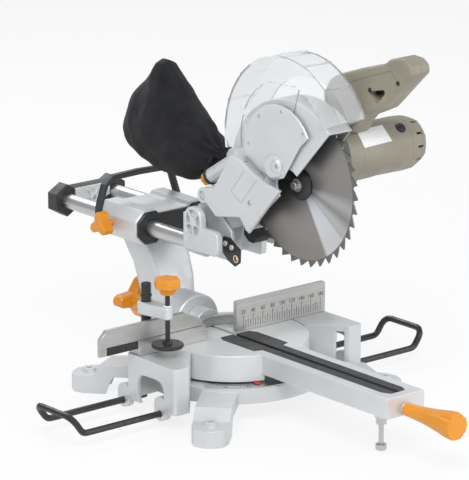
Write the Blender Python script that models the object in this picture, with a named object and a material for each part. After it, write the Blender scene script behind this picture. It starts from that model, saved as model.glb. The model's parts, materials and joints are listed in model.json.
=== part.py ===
"""Sliding compound mitre saw, as an assembly of separate pieces on their joints.

Metres, +Z up. The origin lies on the turntable's axis at bench level, the operator stands
at -Y and the blade plane is X = 0. Heights named ..._RISE and ..._DROP count from the table.
"""

import math

import bmesh
import bpy
from mathutils import Matrix, Vector

# Driving sizes of the whole saw.
TABLE_HEIGHT = 0.100
BLADE_RADIUS = 0.127
MITRE_SWING_RADIUS = 0.119
RAIL_SPREAD = 0.0475
RAIL_RISE = 0.149
RAIL_DIAMETER = 0.025
HEAD_PIVOT_Y = 0.015
HEAD_PIVOT_RISE = 0.228
ARBOR_Y = -0.160
ARBOR_RISE = 0.273

# Fits between pieces.
FIT = 0.0004
RUNNING = 0.001
TURNING_FIT = 0.0006
OVERRUN = 0.004
WELD = 0.000004
POINT = 0.0000001
FLAT_ANGLE = 0.05
SMOOTH_ANGLE = 32
STRAIGHT_ANGLE = 84
CORNER_SHARE = 0.45
SHRINK_SHARE = 0.5
CLEAR_TRANSMISSION = 0.9

# Facets round a circle.
FINE = 32
MEDIUM = 16
COARSE = 10
SMALL = 8

# Base casting.
RING_RADIUS = 0.140
RING_WALL = 0.006
DECK_DROP = 0.046
DECK_THICKNESS = 0.006
RING_DROP = 0.070
SWING_GAP_SHARE = 0.9
HUB_RADIUS = 0.024
HUB_DROP = 0.078
RIB_THICKNESS = 0.004
RIB_DROP = 0.064
RIB_COUNT = 6
BLOCK_OUTER_X = 0.190
BLOCK_FRONT_X = 0.160
BLOCK_FRONT_Y = -0.090
BLOCK_BACK_Y = 0.029
BLOCK_DROP = 0.073
BLOCK_WALL = 0.006
BLOCK_TOP_WALL = 0.008
BLOCK_CORNER = 0.006
BLOCK_ARCH_WIDTH = 0.064
BLOCK_ARCH_RISE = -0.026
BLOCK_RUNNING_GAP = 0.002
BLOCK_INNER_SHARE = 0.4
FOOT_WIDTH = 0.056
FOOT_HOLE_RADIUS = 0.0045
FOOT_BOSS_RADIUS = 0.011
FOOT_BOSS_DROP = 0.066
FOOT_BORE_REACH = 0.236
FRONT_FOOT_X = 0.176
FRONT_FOOT_Y = -0.157
REAR_FOOT_X = 0.153
REAR_FOOT_Y = 0.172
FOOT_ROOT_RADIUS = 0.118
FOOT_NOSE_LENGTH = 0.027
FOOT_SOLE_LENGTH = 0.058
FOOT_TOE_HEIGHT = 0.026
FOOT_WEB_DROP = 0.050
FOOT_WEB_HEIGHT = 0.022
FOOT_POCKET_WALL = 0.006
FOOT_NOSE_SHARE = 0.8
FOOT_POCKET_SHARE = 0.6
FOOT_BOSS_FLARE_SHARE = 1.3

# Turntable and its arm.
TABLE_SIDE_DROP = 0.042
TABLE_PLATE = 0.009
TABLE_WALL = 0.006
ARM_HALF_WIDTH = 0.0375
ARM_FRONT_Y = -0.396
ARM_DROP = 0.032
ARM_WALL = 0.005
ARM_BOTTOM_CORNER = 0.008
INSERT_WIDE = 0.035
INSERT_NARROW = 0.021
INSERT_BACK_Y = -0.002
INSERT_STEP_Y = -0.095
INSERT_FRONT_Y = -0.380
INSERT_THICKNESS = 0.004
INSERT_CHAMFER = 0.014
KERF_WIDTH = 0.008
SLOT_BACK_Y = 0.060
SLOT_FRONT_Y = -0.352
PIVOT_BOLT_RADIUS = 0.006
PIVOT_HEAD_RADIUS = 0.011
PIVOT_HEAD_HEIGHT = 0.007
BEVEL_BOSS_RADIUS = 0.0255
BEVEL_BOSS_FRONT_Y = 0.062
BEVEL_BOSS_BACK_Y = 0.0875
BEVEL_SHAFT_RADIUS = 0.008
BEVEL_SHAFT_BACK_Y = 0.250
REAR_NOTCH_HALF_WIDTH = 0.047
POINTER_ANGLE = 22.5
POINTER_LENGTH = 0.020
POINTER_WIDTH = 0.009
POINTER_THICKNESS = 0.0012
SCALE_INNER_RADIUS = 0.110
SCALE_THICKNESS = 0.0015
SCALE_SWEEP = 118

# Levelling screw and mitre lock under the arm.
LOCK_HANDLE_SHARES = ((0, 0), (0.12, 0.02), (0.35, 0.18), (0.6, 0.5), (0.82, 0.88), (0.95, 1), (1, 0.9))
LOCK_FLUTE_SHARE = 1.35
LOCK_FLUTES = 4
LEVEL_Y = -0.344
LEVEL_BOSS_RADIUS = 0.010
LEVEL_BOSS_DROP = 0.049
LEVEL_NUT_RADIUS = 0.0085
LEVEL_NUT_HEIGHT = 0.009
LEVEL_SHANK_RADIUS = 0.004
LEVEL_HEAD_RADIUS = 0.0085
LEVEL_HEAD_HEIGHT = 0.009
BENCH_GAP = 0.0008
LOCK_ROD_DROP = 0.022
LOCK_ROD_RADIUS = 0.004
LOCK_ROD_BACK_Y = -0.125
LOCK_BOSS_RADIUS = 0.0085
LOCK_HANDLE_ROOT_Y = -0.400
LOCK_HANDLE_END_Y = -0.507
LOCK_HANDLE_ROOT_RADIUS = 0.0105
LOCK_HANDLE_END_RADIUS = 0.0215

# Fence.
FENCE_THICKNESS = 0.008
FENCE_RIGHT_X = 0.190
FENCE_RIGHT_INNER_X = 0.0065
FENCE_RIGHT_RISE = 0.050
FENCE_LEFT_X = -0.185
FENCE_LEFT_INNER_X = -0.056
FENCE_LEFT_RISE = 0.025
FENCE_TABLE_GAP = 0.0006
FENCE_BRIDGE_RADIUS = 0.0605
FENCE_BRIDGE_RISE = 0.015
FENCE_FLANGE_X = 0.126
FENCE_FLANGE_Y = 0.028
FENCE_FLANGE_RISE = 0.009
FENCE_GUSSET_THICKNESS = 0.006
FENCE_GUSSET_SHARES = (0.06, 0.94)
FENCE_GUSSET_TOP_SHARE = 0.9
SLIDE_FENCE_OUTER_X = -0.249
SLIDE_FENCE_INNER_X = -0.062
SLIDE_FENCE_RISE = 0.053
SLIDE_FENCE_BEVEL_X = -0.099
SLIDE_FENCE_BEVEL_RISE = 0.035
SLIDE_FENCE_LUG_X = -0.262
SLIDE_FENCE_LUG_RISE = 0.013
SLIDE_BAR_RISE = 0.013
SLIDE_BAR_DEPTH = 0.006

# Clamp.
CLAMP_X = -0.158
CLAMP_Y = 0.0195
CLAMP_POST_RADIUS = 0.008
CLAMP_POST_RISE = 0.108
CLAMP_SOCKET_RADIUS = 0.0125
CLAMP_SOCKET_RISE = 0.032
CLAMP_SOCKET_DROP = 0.020
CLAMP_SOCKET_SHARE = 0.8
CLAMP_ARM_LOW = 0.060
CLAMP_ARM_HIGH = 0.079
CLAMP_ARM_ROOT_RADIUS = 0.0135
CLAMP_ARM_END_RADIUS = 0.0085
CLAMP_SCREW_Y = -0.028
CLAMP_SCREW_X = -0.154
CLAMP_SCREW_RADIUS = 0.00375
CLAMP_BUSH_RADIUS = 0.0055
CLAMP_BUSH_COLLAR = 0.0062
CLAMP_BUSH_COLLAR_HEIGHT = 0.0025
CLAMP_PAD_RADIUS = 0.025
CLAMP_PAD_LOW = 0.0155
CLAMP_PAD_HEIGHT = 0.006
CLAMP_PAD_HUB_RADIUS = 0.008
CLAMP_PAD_HUB_HEIGHT = 0.011
CLAMP_KNOB_LOW = 0.100
CLAMP_KNOB_HEIGHT = 0.025
CLAMP_KNOB_RADIUS = 0.0215
CLAMP_KNOB_LOBES = 6
CLAMP_KNOB_WAVE_SHARE = 1 / 7
CLAMP_KNOB_SHARES = (
    (0.5, 0, 0.1),
    (0.62, 0.3, 0.2),
    (0.97, 0.42, 1),
    (1, 0.6, 1),
    (0.97, 0.9, 1),
    (0.86, 1, 1),
)
CLAMP_RING_HEIGHT = 0.003
CLAMP_RING_RADIUS = 0.0092
CLAMP_RING_RISE = 0.087

# Extension wires.
WIRE_RADIUS = 0.00525
WIRE_DROP = 0.078
WIRE_FRONT_Y = -0.052
WIRE_BACK_Y = 0.038
WIRE_INNER_X = 0.146
WIRE_OUTER_X = 0.336
WIRE_BEND = 0.0144
WIRE_UP_LENGTH = 0.034
WIRE_UP_LEAN = 35
WIRE_EAR_DEPTH = 0.008


# Column and slide housing. Sections are (rise, front, back, half width).
COLUMN_SECTIONS = (
    (-0.020, 0.132, 0.180, 0.026),
    (0.0, 0.130, 0.188, 0.030),
    (0.030, 0.130, 0.190, 0.033),
    (0.060, 0.138, 0.196, 0.037),
    (0.095, 0.155, 0.219, 0.041),
    (0.128, 0.172, 0.240, 0.043),
)
COLUMN_CORNER = 0.010
BEVEL_HUB_RADIUS = 0.043
BEVEL_HUB_BACK_Y = 0.150
BEVEL_NOSE_RADIUS = 0.028
BEVEL_NOSE_BACK_Y = 0.190
HOUSING_RADIUS = 0.0275
HOUSING_OUTER_X = RAIL_SPREAD + HOUSING_RADIUS
HOUSING_FRONT_Y = 0.150
HOUSING_BACK_Y = 0.250
HOUSING_CHAMFER = 0.002
HOUSING_WEB_SHARE = 0.8
COVER_RADIUS = 0.0262
COVER_THICKNESS = 0.006
BUSH_WALL = 0.0035
CARRY_STRAP = 0.008
CARRY_RISE = 0.219
CARRY_FOOT_DROP = 0.014
CARRY_KNEE = 0.020
CARRY_LEAN = 0.012
CARRY_SHOULDER = 0.014
CARRY_Y = 0.239
CARRY_WIDTH = 0.012
CARRY_SHOULDER_SHARE = 1.4
CARRY_FALL_SHARE = 0.2
CARRY_CROWN_SHARE = 1.1
CARRY_SIDE_SHARE = 1.25
CARRY_KNEE_SHARE = 0.8
LOBES = 3
LOBE_ANGLE = 80
LOBE_HOLLOW_SHARE = 1.35
BEVEL_NECK_WAIST_SHARE = 0.85
BEVEL_NECK_ROOT_SHARE = 1.1
BEVEL_LEVER_REACH = 0.037
BEVEL_LEVER_LOBE = 0.010
BEVEL_LEVER_FRONT_Y = 0.240
BEVEL_LEVER_BACK_Y = 0.262
BEVEL_NECK_RADIUS = 0.014
RAIL_LOCK_Y = 0.211
RAIL_LOCK_REACH = 0.021
RAIL_LOCK_LOBE = 0.0075
RAIL_LOCK_LENGTH = 0.020
RAIL_LOCK_STAND = 0.010
RAIL_LOCK_STUD_RADIUS = 0.004
RAIL_LOCK_PAD_RADIUS = 0.010

# Sliding carriage.
RAIL_FRONT_Y = 0.012
RAIL_BACK_Y = 0.374
RAIL_WALL = 0.003
CAP_FRONT_Y = 0.362
CAP_BACK_Y = 0.387
CAP_RADIUS = 0.0235
CAP_BAR = 0.014
BRACKET_DROP = 0.018
BRACKET_WALL = 0.004
BRACKET_DEPTH = 0.008
BRACKET_HUB_RADIUS = 0.007
BRACKET_RIB_ANGLES = (0, 180, 50, 130, 90)
BRACKET_RIB_SHARE = 0.93
BRACKET_DEPTH_SHARE = 0.8
HINGE_LOW = 0.131
HINGE_SIDE_LOW = 0.142
HINGE_HIGH = 0.209
HINGE_FRONT_Y = -0.038
HINGE_BACK_Y = 0.045
HINGE_CORNER = 0.010
HINGE_CORE_HALF = 0.036
HINGE_SOCKET_RADIUS = 0.0165
HINGE_SOCKET_FRONT_Y = 0.004
HINGE_EAR_RADIUS = 0.013
HINGE_EAR_INNER = 0.012
HINGE_WALL_INNER = 0.053
HINGE_OUTER_HALF = 0.064
HINGE_OVAL_Y = 0.022
HINGE_OVAL_RISE = 0.186
HINGE_OVAL_WIDTH = 0.041
HINGE_OVAL_HEIGHT = 0.050
HINGE_OVAL_RIM = 0.0045
HINGE_OVAL_DEPTH = 0.006
HINGE_HUB_RADIUS = 0.0075
HINGE_SPOKE = 0.003
HINGE_REAR_WALL = 0.007
HINGE_EAR_LEAN = 15
HINGE_EAR_FRONT_SHARE = 1.5
HINGE_EAR_BACK_SHARE = 1.3
HINGE_OVAL_SHARE = 0.95
HINGE_SPOKES = 5
PIN_RADIUS = 0.007
SPRING_RADIUS = 0.010
SPRING_WIRE = 0.0013
SPRING_LENGTH = 0.020
SPRING_TURNS = 6
SPRING_POINTS = 8
STOP_PLATE = 0.004
HEAD_DROP_ANGLE = 50
HOOD_CLEARANCE = 0.002
FLAP_ROOM_RISE = 0.042
STOP_WIDTH = 0.041
STOP_SHARES = (
    (1.0, 0.95),
    (1.0, 0.3),
    (0.7, 0.05),
    (0.3, -0.1),
    (0.02, 0.1),
    (0.0, 0.6),
    (0.3, 0.75),
    (0.6, 0.95),
)
STOP_BACK_Y = -0.022
STOP_BOLT_SHARES = ((0.82, 0.7), (0.45, 0.62))
STOP_HOLE_SHARE = (0.22, 0.22)
STOP_HOLE_RADIUS = 0.004
STOP_BOLT_RADIUS = 0.0045

# Head casting. Side shapes count from the hinge pin in shares of the arm's reach.
ARM_REACH = 0.180
KNUCKLE_RADIUS = 0.013
KNUCKLE_START = -130
FORK_OUTER_HALF = 0.0505
FORK_INNER_HALF = 0.043
FORK_CHAMFER = 0.0015
FORK_SHARES = (
    (-0.138, 0.083),
    (-0.364, 0.424),
    (-0.50, 0.40),
    (-0.656, 0.322),
    (-0.828, 0.267),
    (-1.006, 0.239),
    (-0.607, -0.207),
    (-0.494, -0.09),
    (-0.178, -0.15),
)
FORK_RIGHT_SHARES = (
    (-0.138, 0.083),
    (-0.361, 0.40),
    (-0.611, 0.189),
    (-0.494, -0.09),
    (-0.178, -0.15),
)
ARM_BRIDGE_SHARES = (
    (-0.138, 0.083),
    (-0.364, 0.424),
    (-0.45, 0.378),
    (-0.272, 0.156),
    (-0.161, 0.072),
)
ARM_LINK_SHARES = (
    (-0.278, 0.167),
    (-0.361, 0.389),
    (-0.639, 0.289),
    (-0.706, 0.2),
    (-0.428, 0.189),
)
GUARD_RADIUS = 0.134
GUARD_WALL = 0.003
GUARD_LEFT_X = 0.0267
GUARD_RIGHT_X = 0.020
GUARD_REAR_ANGLE = -42
GUARD_FRONT_ANGLE = 133
ARBOR_WINDOW_RADIUS = 0.027
BLADE_ROOM = 0.004
GUARD_PIVOT_OFFSET_Y = 0.024
GUARD_PIVOT_OFFSET_Z = 0.028
GUARD_BOSS_RADIUS = 0.0095
NECK_X = 0.010
NECK_RADIUS = 0.015
NECK_WALL = 0.002
NECK_ROOT_SHARES = (-0.267, 0.339)
NECK_END_SHARES = (-0.02, 0.292)
NECK_INNER_SHARES = (-0.40, 0.364)
NECK_OUT_SHARES = (0.06, 0.277)
COVER_INNER_X = 0.0303
COVER_OUTER_X = 0.0343
COVER_OFFSET_Y = 0.016
COVER_OFFSET_Z = 0.046
COVER_ARC_RADIUS = 0.079
COVER_HUB_RADIUS = 0.019
COVER_HUB_HEIGHT = 0.006
COVER_HUB_SHARE = 0.82
COVER_ARC_START = -12
COVER_ARC_END = 150
COVER_SHARES = ((-0.26, 0.54), (0.027, 0.109), (0.205, 0.047), (0.449, 0.126), (0.669, 0.244))

# Clear lower guard, swung back.
GUARD_OPEN_OFFSET_Y = 0.008
GUARD_OPEN_OFFSET_Z = 0.061
GUARD_RIM_RADIUS = 0.138
CLEAR_WALL = 0.0025
CLEAR_DEPTH = 0.038
CLEAR_LEFT_X = 0.0297
CLEAR_RIGHT_X = 0.0231
CLEAR_HUB_RADIUS = 0.016
CLEAR_ARM_START = 20
CLEAR_ARM_END = 110
CLEAR_BOSS_RADIUS = 0.004
CLEAR_RIBS = 6
CLEAR_RIB_START = 21
CLEAR_RIB_END = 132
CLEAR_RIB_SHARE = 0.6
CLEAR_RIB_ANGLE = 0.5
CLEAR_ROOM_ANGLE = 20
CLEAR_HUB_START = 150
CLEAR_HUB_END = 390
CLEAR_ROLLER_ANGLE = 4
GUARD_OPEN_START = -11
GUARD_OPEN_END = 155

# Blade and spindle.
BLADE_THICKNESS = 0.0022
TOOTH_COUNT = 36
TOOTH_DEPTH = 0.010
TOOTH_SHARES = ((0.0, 0.0), (0.1, 0.85), (0.25, 1.0), (0.45, 0.7), (0.9, 0.08))
FLANGE_RADIUS = 0.025
FLANGE_THICKNESS = 0.006
FLANGE_LIP = 0.0015
FLANGE_EDGE_SHARE = 0.8
FLANGE_FACE_SHARE = 0.55
SPINDLE_RADIUS = 0.009
SPINDLE_STEP = 0.0035
ARBOR_BOLT_RADIUS = 0.004
BOLT_WASHER_RADIUS = 0.0107
BOLT_WASHER_THICKNESS = 0.002
BOLT_HEAD_RADIUS = 0.0065
BOLT_HEAD_LENGTH = 0.007
BOLT_SOCKET_RADIUS = 0.0035
BOLT_EDGE_SHARE = 0.9
BOLT_SOCKET_SHARE = 0.3
SPINDLE_TEETH = 34
PINION_TEETH = 13
PRESSURE_ANGLE = 20
GEAR_ADDENDUM = 0.75
GEAR_DEDENDUM = 1.2
GEAR_BACKLASH = 0.0005
GEAR_WIDTH = 0.011
GEAR_WEB = 0.0076

# Gear case and motor.
GEAR_CASE_RADIUS = 0.054
GEAR_CASE_WALL = 0.004
GEAR_CASE_CHAMFER = 0.0015
GEAR_CASE_X = 0.048
GEAR_WING_X = 0.0236
MOTOR_OFFSET_Y = -0.044
MOTOR_OFFSET_Z = 0.048
MOTOR_RADIUS = 0.043
MOTOR_NECK = 0.030
MOTOR_WALL = 0.003
MOTOR_SPLIT_X = 0.150
MOTOR_END_RADIUS = 0.0405
MOTOR_BORE_RADIUS = 0.0365
MOTOR_END = 0.036
MOTOR_STEP_SHARES = (1.6, 0.97)
MOTOR_END_SHARES = ((0, 1, 1), (0.55, 0.97, 1), (0.85, 0.86, 0.8), (1, 0.68, 0.5))
MOTOR_REACH_SHARE = 1.4
MOTOR_CORNER_SHARE = 1.045
MOTOR_BEARING_SHARE = 0.4
MOTOR_DOME_SHARE = 0.7
VENT_SHARES = (0.3, 0.62)
VENT_COUNT = 12
VENT_WIDTH = 0.0035
BRUSH_X = 0.136
BRUSH_ANGLE = -50
BRUSH_RADIUS = 0.0085
BRUSH_SEAT = 0.0375
BRUSH_OUTER = 0.0437
BRUSH_SLOT_SHARE = 1.2
FIELD_START = 0.022
FIELD_LENGTH = 0.045
FAN_SHARE = 0.4
ARMATURE_SHAFT_RADIUS = 0.006
ARMATURE_FAN_RADIUS = 0.033
ARMATURE_RADIUS = 0.023
COMMUTATOR_RADIUS = 0.015
ARMATURE_NECK_SHARE = 1.6
COMMUTATOR_RISER_SHARE = 1.2
COMMUTATOR_END_SHARE = 1.1

# Loop handle. Side shapes count from the motor's axis in shares of the handle's reach.
HANDLE_REACH = 0.150
HANDLE_X = 0.056
HANDLE_HALF_WIDTH = 0.020
HANDLE_CORNER = 0.008
HANDLE_SEAT_GAP = 0.0007
HANDLE_SEAT_START = 125
HANDLE_SEAT_END = 50
HANDLE_ROUND_SHARE = 0.35
HANDLE_EDGE_SHARE = 0.3
HANDLE_FACE_SHARE = 0.85
HANDLE_SHARES = (
    (0.227, 0.36),
    (0.26, 0.593),
    (0.16, 0.753),
    (0.06, 0.813),
    (-0.307, 0.94),
    (-0.627, 1.033),
    (-0.69, 1.087),
    (-0.84, 1.133),
    (-0.947, 1.127),
    (-1.027, 1.073),
    (-1.047, 0.987),
    (-0.613, 0.573),
    (-0.333, 0.447),
    (-0.227, 0.34),
)
HANDLE_OPENING_SHARES = ((-0.413, 0.72), (-0.54, 0.613), (-0.727, 0.80))
TRIGGER_ROOM_SHARES = ((-0.387, 0.66), (-0.36, 0.793), (-0.70, 0.88), (-0.72, 0.747))
TRIGGER_SHARES = ((-0.413, 0.69), (-0.40, 0.747), (-0.66, 0.813), (-0.673, 0.757))
TRIGGER_ROOM_HALF = 0.007
TRIGGER_SIDE_GAP = 0.0007

# Depth stop, dust bag and flap.
DEPTH_X = -0.018
DEPTH_BOSS_RADIUS = 0.0125
DEPTH_BOSS_ROOT_SHARES = (-0.317, 0.381)
DEPTH_BOSS_END_SHARES = (0.083, 0.133)
DEPTH_COLLAR_RADIUS = 0.014
DEPTH_COLLAR_LENGTH = 0.005
DEPTH_SCREW_RADIUS = 0.003
DEPTH_SCREW_LENGTH = 0.034
DEPTH_SCREW_SUNK = 0.018
DEPTH_KNOB_RADIUS = 0.0105
DEPTH_KNOB_LENGTH = 0.012
DEPTH_KNOB_ROOT_SHARE = 0.7
DEPTH_KNOB_SHARES = ((0.8, 0), (1, 0.15), (1, 0.85), (0.8, 1))
BAG_X = 0.016
BAG_LENGTH = 0.284
BAG_HEIGHT = 0.100
BAG_HALF_WIDTH = 0.052
BAG_SIDES = 16
BAG_SIDE_SHARE = 0.85
BAG_TOP_SHARE = 0.8
BAG_SHARES = (
    (0.07, 0.59, 0.46, 0.27, 12),
    (0.17, 0.64, 0.73, 0.54, 24),
    (0.312, 0.74, 0.94, 0.82, 12),
    (0.482, 0.94, 1.0, 1.0, 3),
    (0.66, 0.84, 0.96, 0.88, -5),
    (0.819, 0.70, 0.81, 0.62, -10),
    (0.943, 0.60, 0.54, 0.36, -12),
    (1.0, 0.58, 0.19, 0.12, -12),
)
FLAP_HALF = 0.014
FLAP_CORNER = 0.004
FLAP_SHARES = (
    (-0.339, -0.156),
    (-0.311, -0.233),
    (-0.311, -0.311),
    (-0.372, -0.361),
    (-0.439, -0.367),
    (-0.489, -0.311),
    (-0.417, -0.261),
    (-0.383, -0.222),
    (-0.356, -0.172),
)


def at(x, y, rise):
    """A point whose height counts from the table surface."""
    return Vector((x, y, TABLE_HEIGHT + rise))


# Flat outlines.


def arc(centre, radius, start, end, steps):
    """Points along an arc, angles in degrees, both ends included."""
    turns = [math.radians(start + (end - start) * i / steps) for i in range(steps + 1)]
    return [
        (centre[0] + radius * math.cos(turn), centre[1] + radius * math.sin(turn)) for turn in turns
    ]


def circle(centre, radius, steps):
    return arc(centre, radius, 0, 360, steps)[:-1]


def rectangle(low, high):
    return [low, (high[0], low[1]), high, (low[0], high[1])]


def unit(point):
    length = math.hypot(*point)
    return (point[0] / length, point[1] / length)


def rounded(points, radius, steps=3):
    """The outline with each corner rounded, by less where its sides are short."""
    done = []
    for i, corner in enumerate(points):
        before, after = points[i - 1], points[(i + 1) % len(points)]
        back = (before[0] - corner[0], before[1] - corner[1])
        ahead = (after[0] - corner[0], after[1] - corner[1])
        a, b = unit(back), unit(ahead)
        half = math.acos(max(-1, min(1, a[0] * b[0] + a[1] * b[1]))) / 2
        if math.degrees(half) > STRAIGHT_ANGLE:
            done.append(corner)
            continue
        reach = min(radius / math.tan(half), *(math.hypot(*edge) * CORNER_SHARE for edge in (back, ahead)))
        small = reach * math.tan(half)
        middle = unit((a[0] + b[0], a[1] + b[1]))
        centre = tuple(c + m * small / math.sin(half) for c, m in zip(corner, middle))
        first = math.atan2(corner[1] + a[1] * reach - centre[1], corner[0] + a[0] * reach - centre[0])
        last = math.atan2(corner[1] + b[1] * reach - centre[1], corner[0] + b[0] * reach - centre[0])
        sweep = (last - first + math.pi) % math.tau - math.pi
        done += arc(centre, small, math.degrees(first), math.degrees(first + sweep), steps)
    return done


def shrunk(points, distance):
    """The outline moved inwards by one distance, for chamfered rims. Its points go anticlockwise."""
    done = []
    for i, corner in enumerate(points):
        before, after = points[i - 1], points[(i + 1) % len(points)]
        a = unit((corner[0] - before[0], corner[1] - before[1]))
        b = unit((after[0] - corner[0], after[1] - corner[1]))
        normal = unit((-(a[1] + b[1]), a[0] + b[0]))
        spread = max(normal[0] * -b[1] + normal[1] * b[0], SHRINK_SHARE)
        done.append(tuple(c + n * distance / spread for c, n in zip(corner, normal)))
    return done


def placed(shares, origin, width, height):
    """An outline from shares of a width and a height, counted from an origin."""
    return [(origin[0] + u * width, origin[1] + v * height) for u, v in shares]


def anticlockwise(points):
    area = sum(a[0] * b[1] - b[0] * a[1] for a, b in zip(points, points[1:] + points[:1]))
    return list(points) if area > 0 else list(reversed(points))


# Closed meshes. An outline lies in the plane across its axis: (Y, Z) for X, (X, Z) for Y, (X, Y) for Z.


def lifted(point, axis, along):
    if axis == "X":
        return Vector((along, point[0], point[1]))
    if axis == "Y":
        return Vector((point[0], along, point[1]))
    return Vector((point[0], point[1], along))


def closed_mesh(points, faces):
    shape = bmesh.new()
    corners = [shape.verts.new(point) for point in points]
    for face in faces:
        shape.faces.new([corners[i] for i in face])
    bmesh.ops.recalc_face_normals(shape, faces=shape.faces)
    mesh = bpy.data.meshes.new("shape")
    shape.to_mesh(mesh)
    shape.free()
    return mesh


def loft(rings, closed=False):
    """Rings of equally many points, joined in order, with flat ends unless it closes on itself."""
    size = len(rings[0])
    points = [point for ring in rings for point in ring]
    spans = len(rings) if closed else len(rings) - 1
    faces = []
    for level in range(spans):
        low, high = level * size, (level + 1) % len(rings) * size
        for i in range(size):
            j = (i + 1) % size
            faces.append((low + i, low + j, high + j, high + i))
    if not closed:
        faces.append(tuple(range(size)))
        faces.append(tuple(range(len(points) - size, len(points))))
    return closed_mesh(points, faces)


def prism(outline, axis, start, end, chamfer=0):
    """An outline drawn out along an axis, with chamfered rims if asked."""
    outline = anticlockwise(outline)
    low, high = min(start, end), max(start, end)
    levels = [(low, outline), (high, outline)]
    if chamfer:
        inner = shrunk(outline, chamfer)
        levels = [(low, inner), (low + chamfer, outline), (high - chamfer, outline), (high, inner)]
    return loft([[lifted(point, axis, along) for point in ring] for along, ring in levels])


def box(low, high):
    return prism(rectangle((low[0], low[1]), (high[0], high[1])), "Z", low[2], high[2])


def turned(profile, axis, centre, steps):
    """A profile of (radius, distance along the axis) turned about the axis through the centre."""
    rings = []
    for radius, along in profile:
        rings.append([lifted(p, axis, along) for p in circle(centre, max(radius, POINT), steps)])
    shape = loft(rings)
    tidy = bmesh.new()
    tidy.from_mesh(shape)
    bmesh.ops.remove_doubles(tidy, verts=tidy.verts, dist=WELD / 4)
    bmesh.ops.dissolve_degenerate(tidy, edges=tidy.edges, dist=POINT)
    bmesh.ops.recalc_face_normals(tidy, faces=tidy.faces)
    tidy.to_mesh(shape)
    tidy.free()
    return shape


def rod(axis, centre, radius, start, end, steps=MEDIUM, chamfer=0):
    return prism(circle(centre, radius, steps), axis, start, end, chamfer)


def tube(axis, centre, outer, inner, start, end, steps=MEDIUM):
    """A ring or sleeve: an outer wall, an inner wall and two flat ends."""
    rings = [
        [lifted(point, axis, along) for point in circle(centre, radius, steps)]
        for radius, along in ((outer, start), (outer, end), (inner, end), (inner, start))
    ]
    return loft(rings, closed=True)


def drawn(path, radius, sides=SMALL, spin=0):
    """A round bar along a path of points, its cross-sections square to the path."""
    rings = []
    up = None
    for i, point in enumerate(path):
        ahead = path[min(i + 1, len(path) - 1)] - path[max(i - 1, 0)]
        ahead.normalize()
        if up is None:
            up = ahead.orthogonal().normalized()
        up = (up - ahead * up.dot(ahead)).normalized()
        side = ahead.cross(up)
        ring = []
        for k in range(sides):
            turn = math.tau * k / sides + spin
            ring.append(point + (up * math.cos(turn) + side * math.sin(turn)) * radius)
        rings.append(ring)
    return loft(rings)


def bent(corners, radius, steps=5):
    """A path through corner points with each bend rounded to a radius."""
    path = [corners[0]]
    for before, corner, after in zip(corners, corners[1:], corners[2:]):
        a, b = (before - corner).normalized(), (after - corner).normalized()
        half = a.angle(b) / 2
        reach = radius / math.tan(half)
        centre = corner + (a + b).normalized() * radius / math.sin(half)
        first = corner + a * reach - centre
        axis = a.cross(b).normalized()
        sweep = math.pi - 2 * half
        for i in range(steps + 1):
            path.append(centre + Matrix.Rotation(-sweep * i / steps, 3, axis) @ first)
    return path + [corners[-1]]


# Solids worked out from several shapes.


def helper(mesh):
    obj = bpy.data.objects.new("helper", mesh)
    bpy.context.scene.collection.objects.link(obj)
    obj.hide_render = True
    obj.display_type = "WIRE"
    return obj


def carved(body, add=(), cut=(), keep=()):
    """One closed mesh: the body with shapes joined to it, cut out of it, or kept in common."""
    target = helper(body)
    tools = []
    steps = [("UNION", mesh) for mesh in add]
    steps += [("DIFFERENCE", mesh) for mesh in cut]
    steps += [("INTERSECT", mesh) for mesh in keep]
    for operation, mesh in steps:
        tools.append(helper(mesh))
        step = target.modifiers.new("step", "BOOLEAN")
        step.solver = "EXACT"
        step.operation = operation
        step.object = tools[-1]
    graph = bpy.context.evaluated_depsgraph_get()
    result = bpy.data.meshes.new_from_object(target.evaluated_get(graph))
    for obj in [target, *tools]:
        mesh = obj.data
        bpy.data.objects.remove(obj)
        bpy.data.meshes.remove(mesh)
    return tidied(result)


def tidied(mesh):
    """The mesh without slivers: points closer than the weld distance become one."""
    tidy = bmesh.new()
    tidy.from_mesh(mesh)
    bmesh.ops.remove_doubles(tidy, verts=tidy.verts, dist=WELD)
    bmesh.ops.dissolve_degenerate(tidy, edges=tidy.edges, dist=WELD / 2)
    bmesh.ops.dissolve_limit(
        tidy, angle_limit=math.radians(FLAT_ANGLE), verts=tidy.verts, edges=tidy.edges
    )
    tidy.to_mesh(mesh)
    tidy.free()
    return mesh


def moved(mesh, matrix):
    """A copy of the mesh under a matrix, its faces still pointing out."""
    copy = mesh.copy()
    copy.transform(matrix)
    if matrix.determinant() < 0:
        copy.flip_normals()
    return copy


def mirrored(mesh):
    return moved(mesh, Matrix.Diagonal((-1, 1, 1, 1)))


def turned_copies(mesh, count, axis, centre, start=0):
    """Copies spaced evenly round an axis through a centre."""
    copies = []
    for i in range(count):
        spin = Matrix.Rotation(math.radians(start) + math.tau * i / count, 4, axis)
        copies.append(moved(mesh, Matrix.Translation(centre) @ spin @ Matrix.Translation(-centre)))
    return copies


# Objects.

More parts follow.
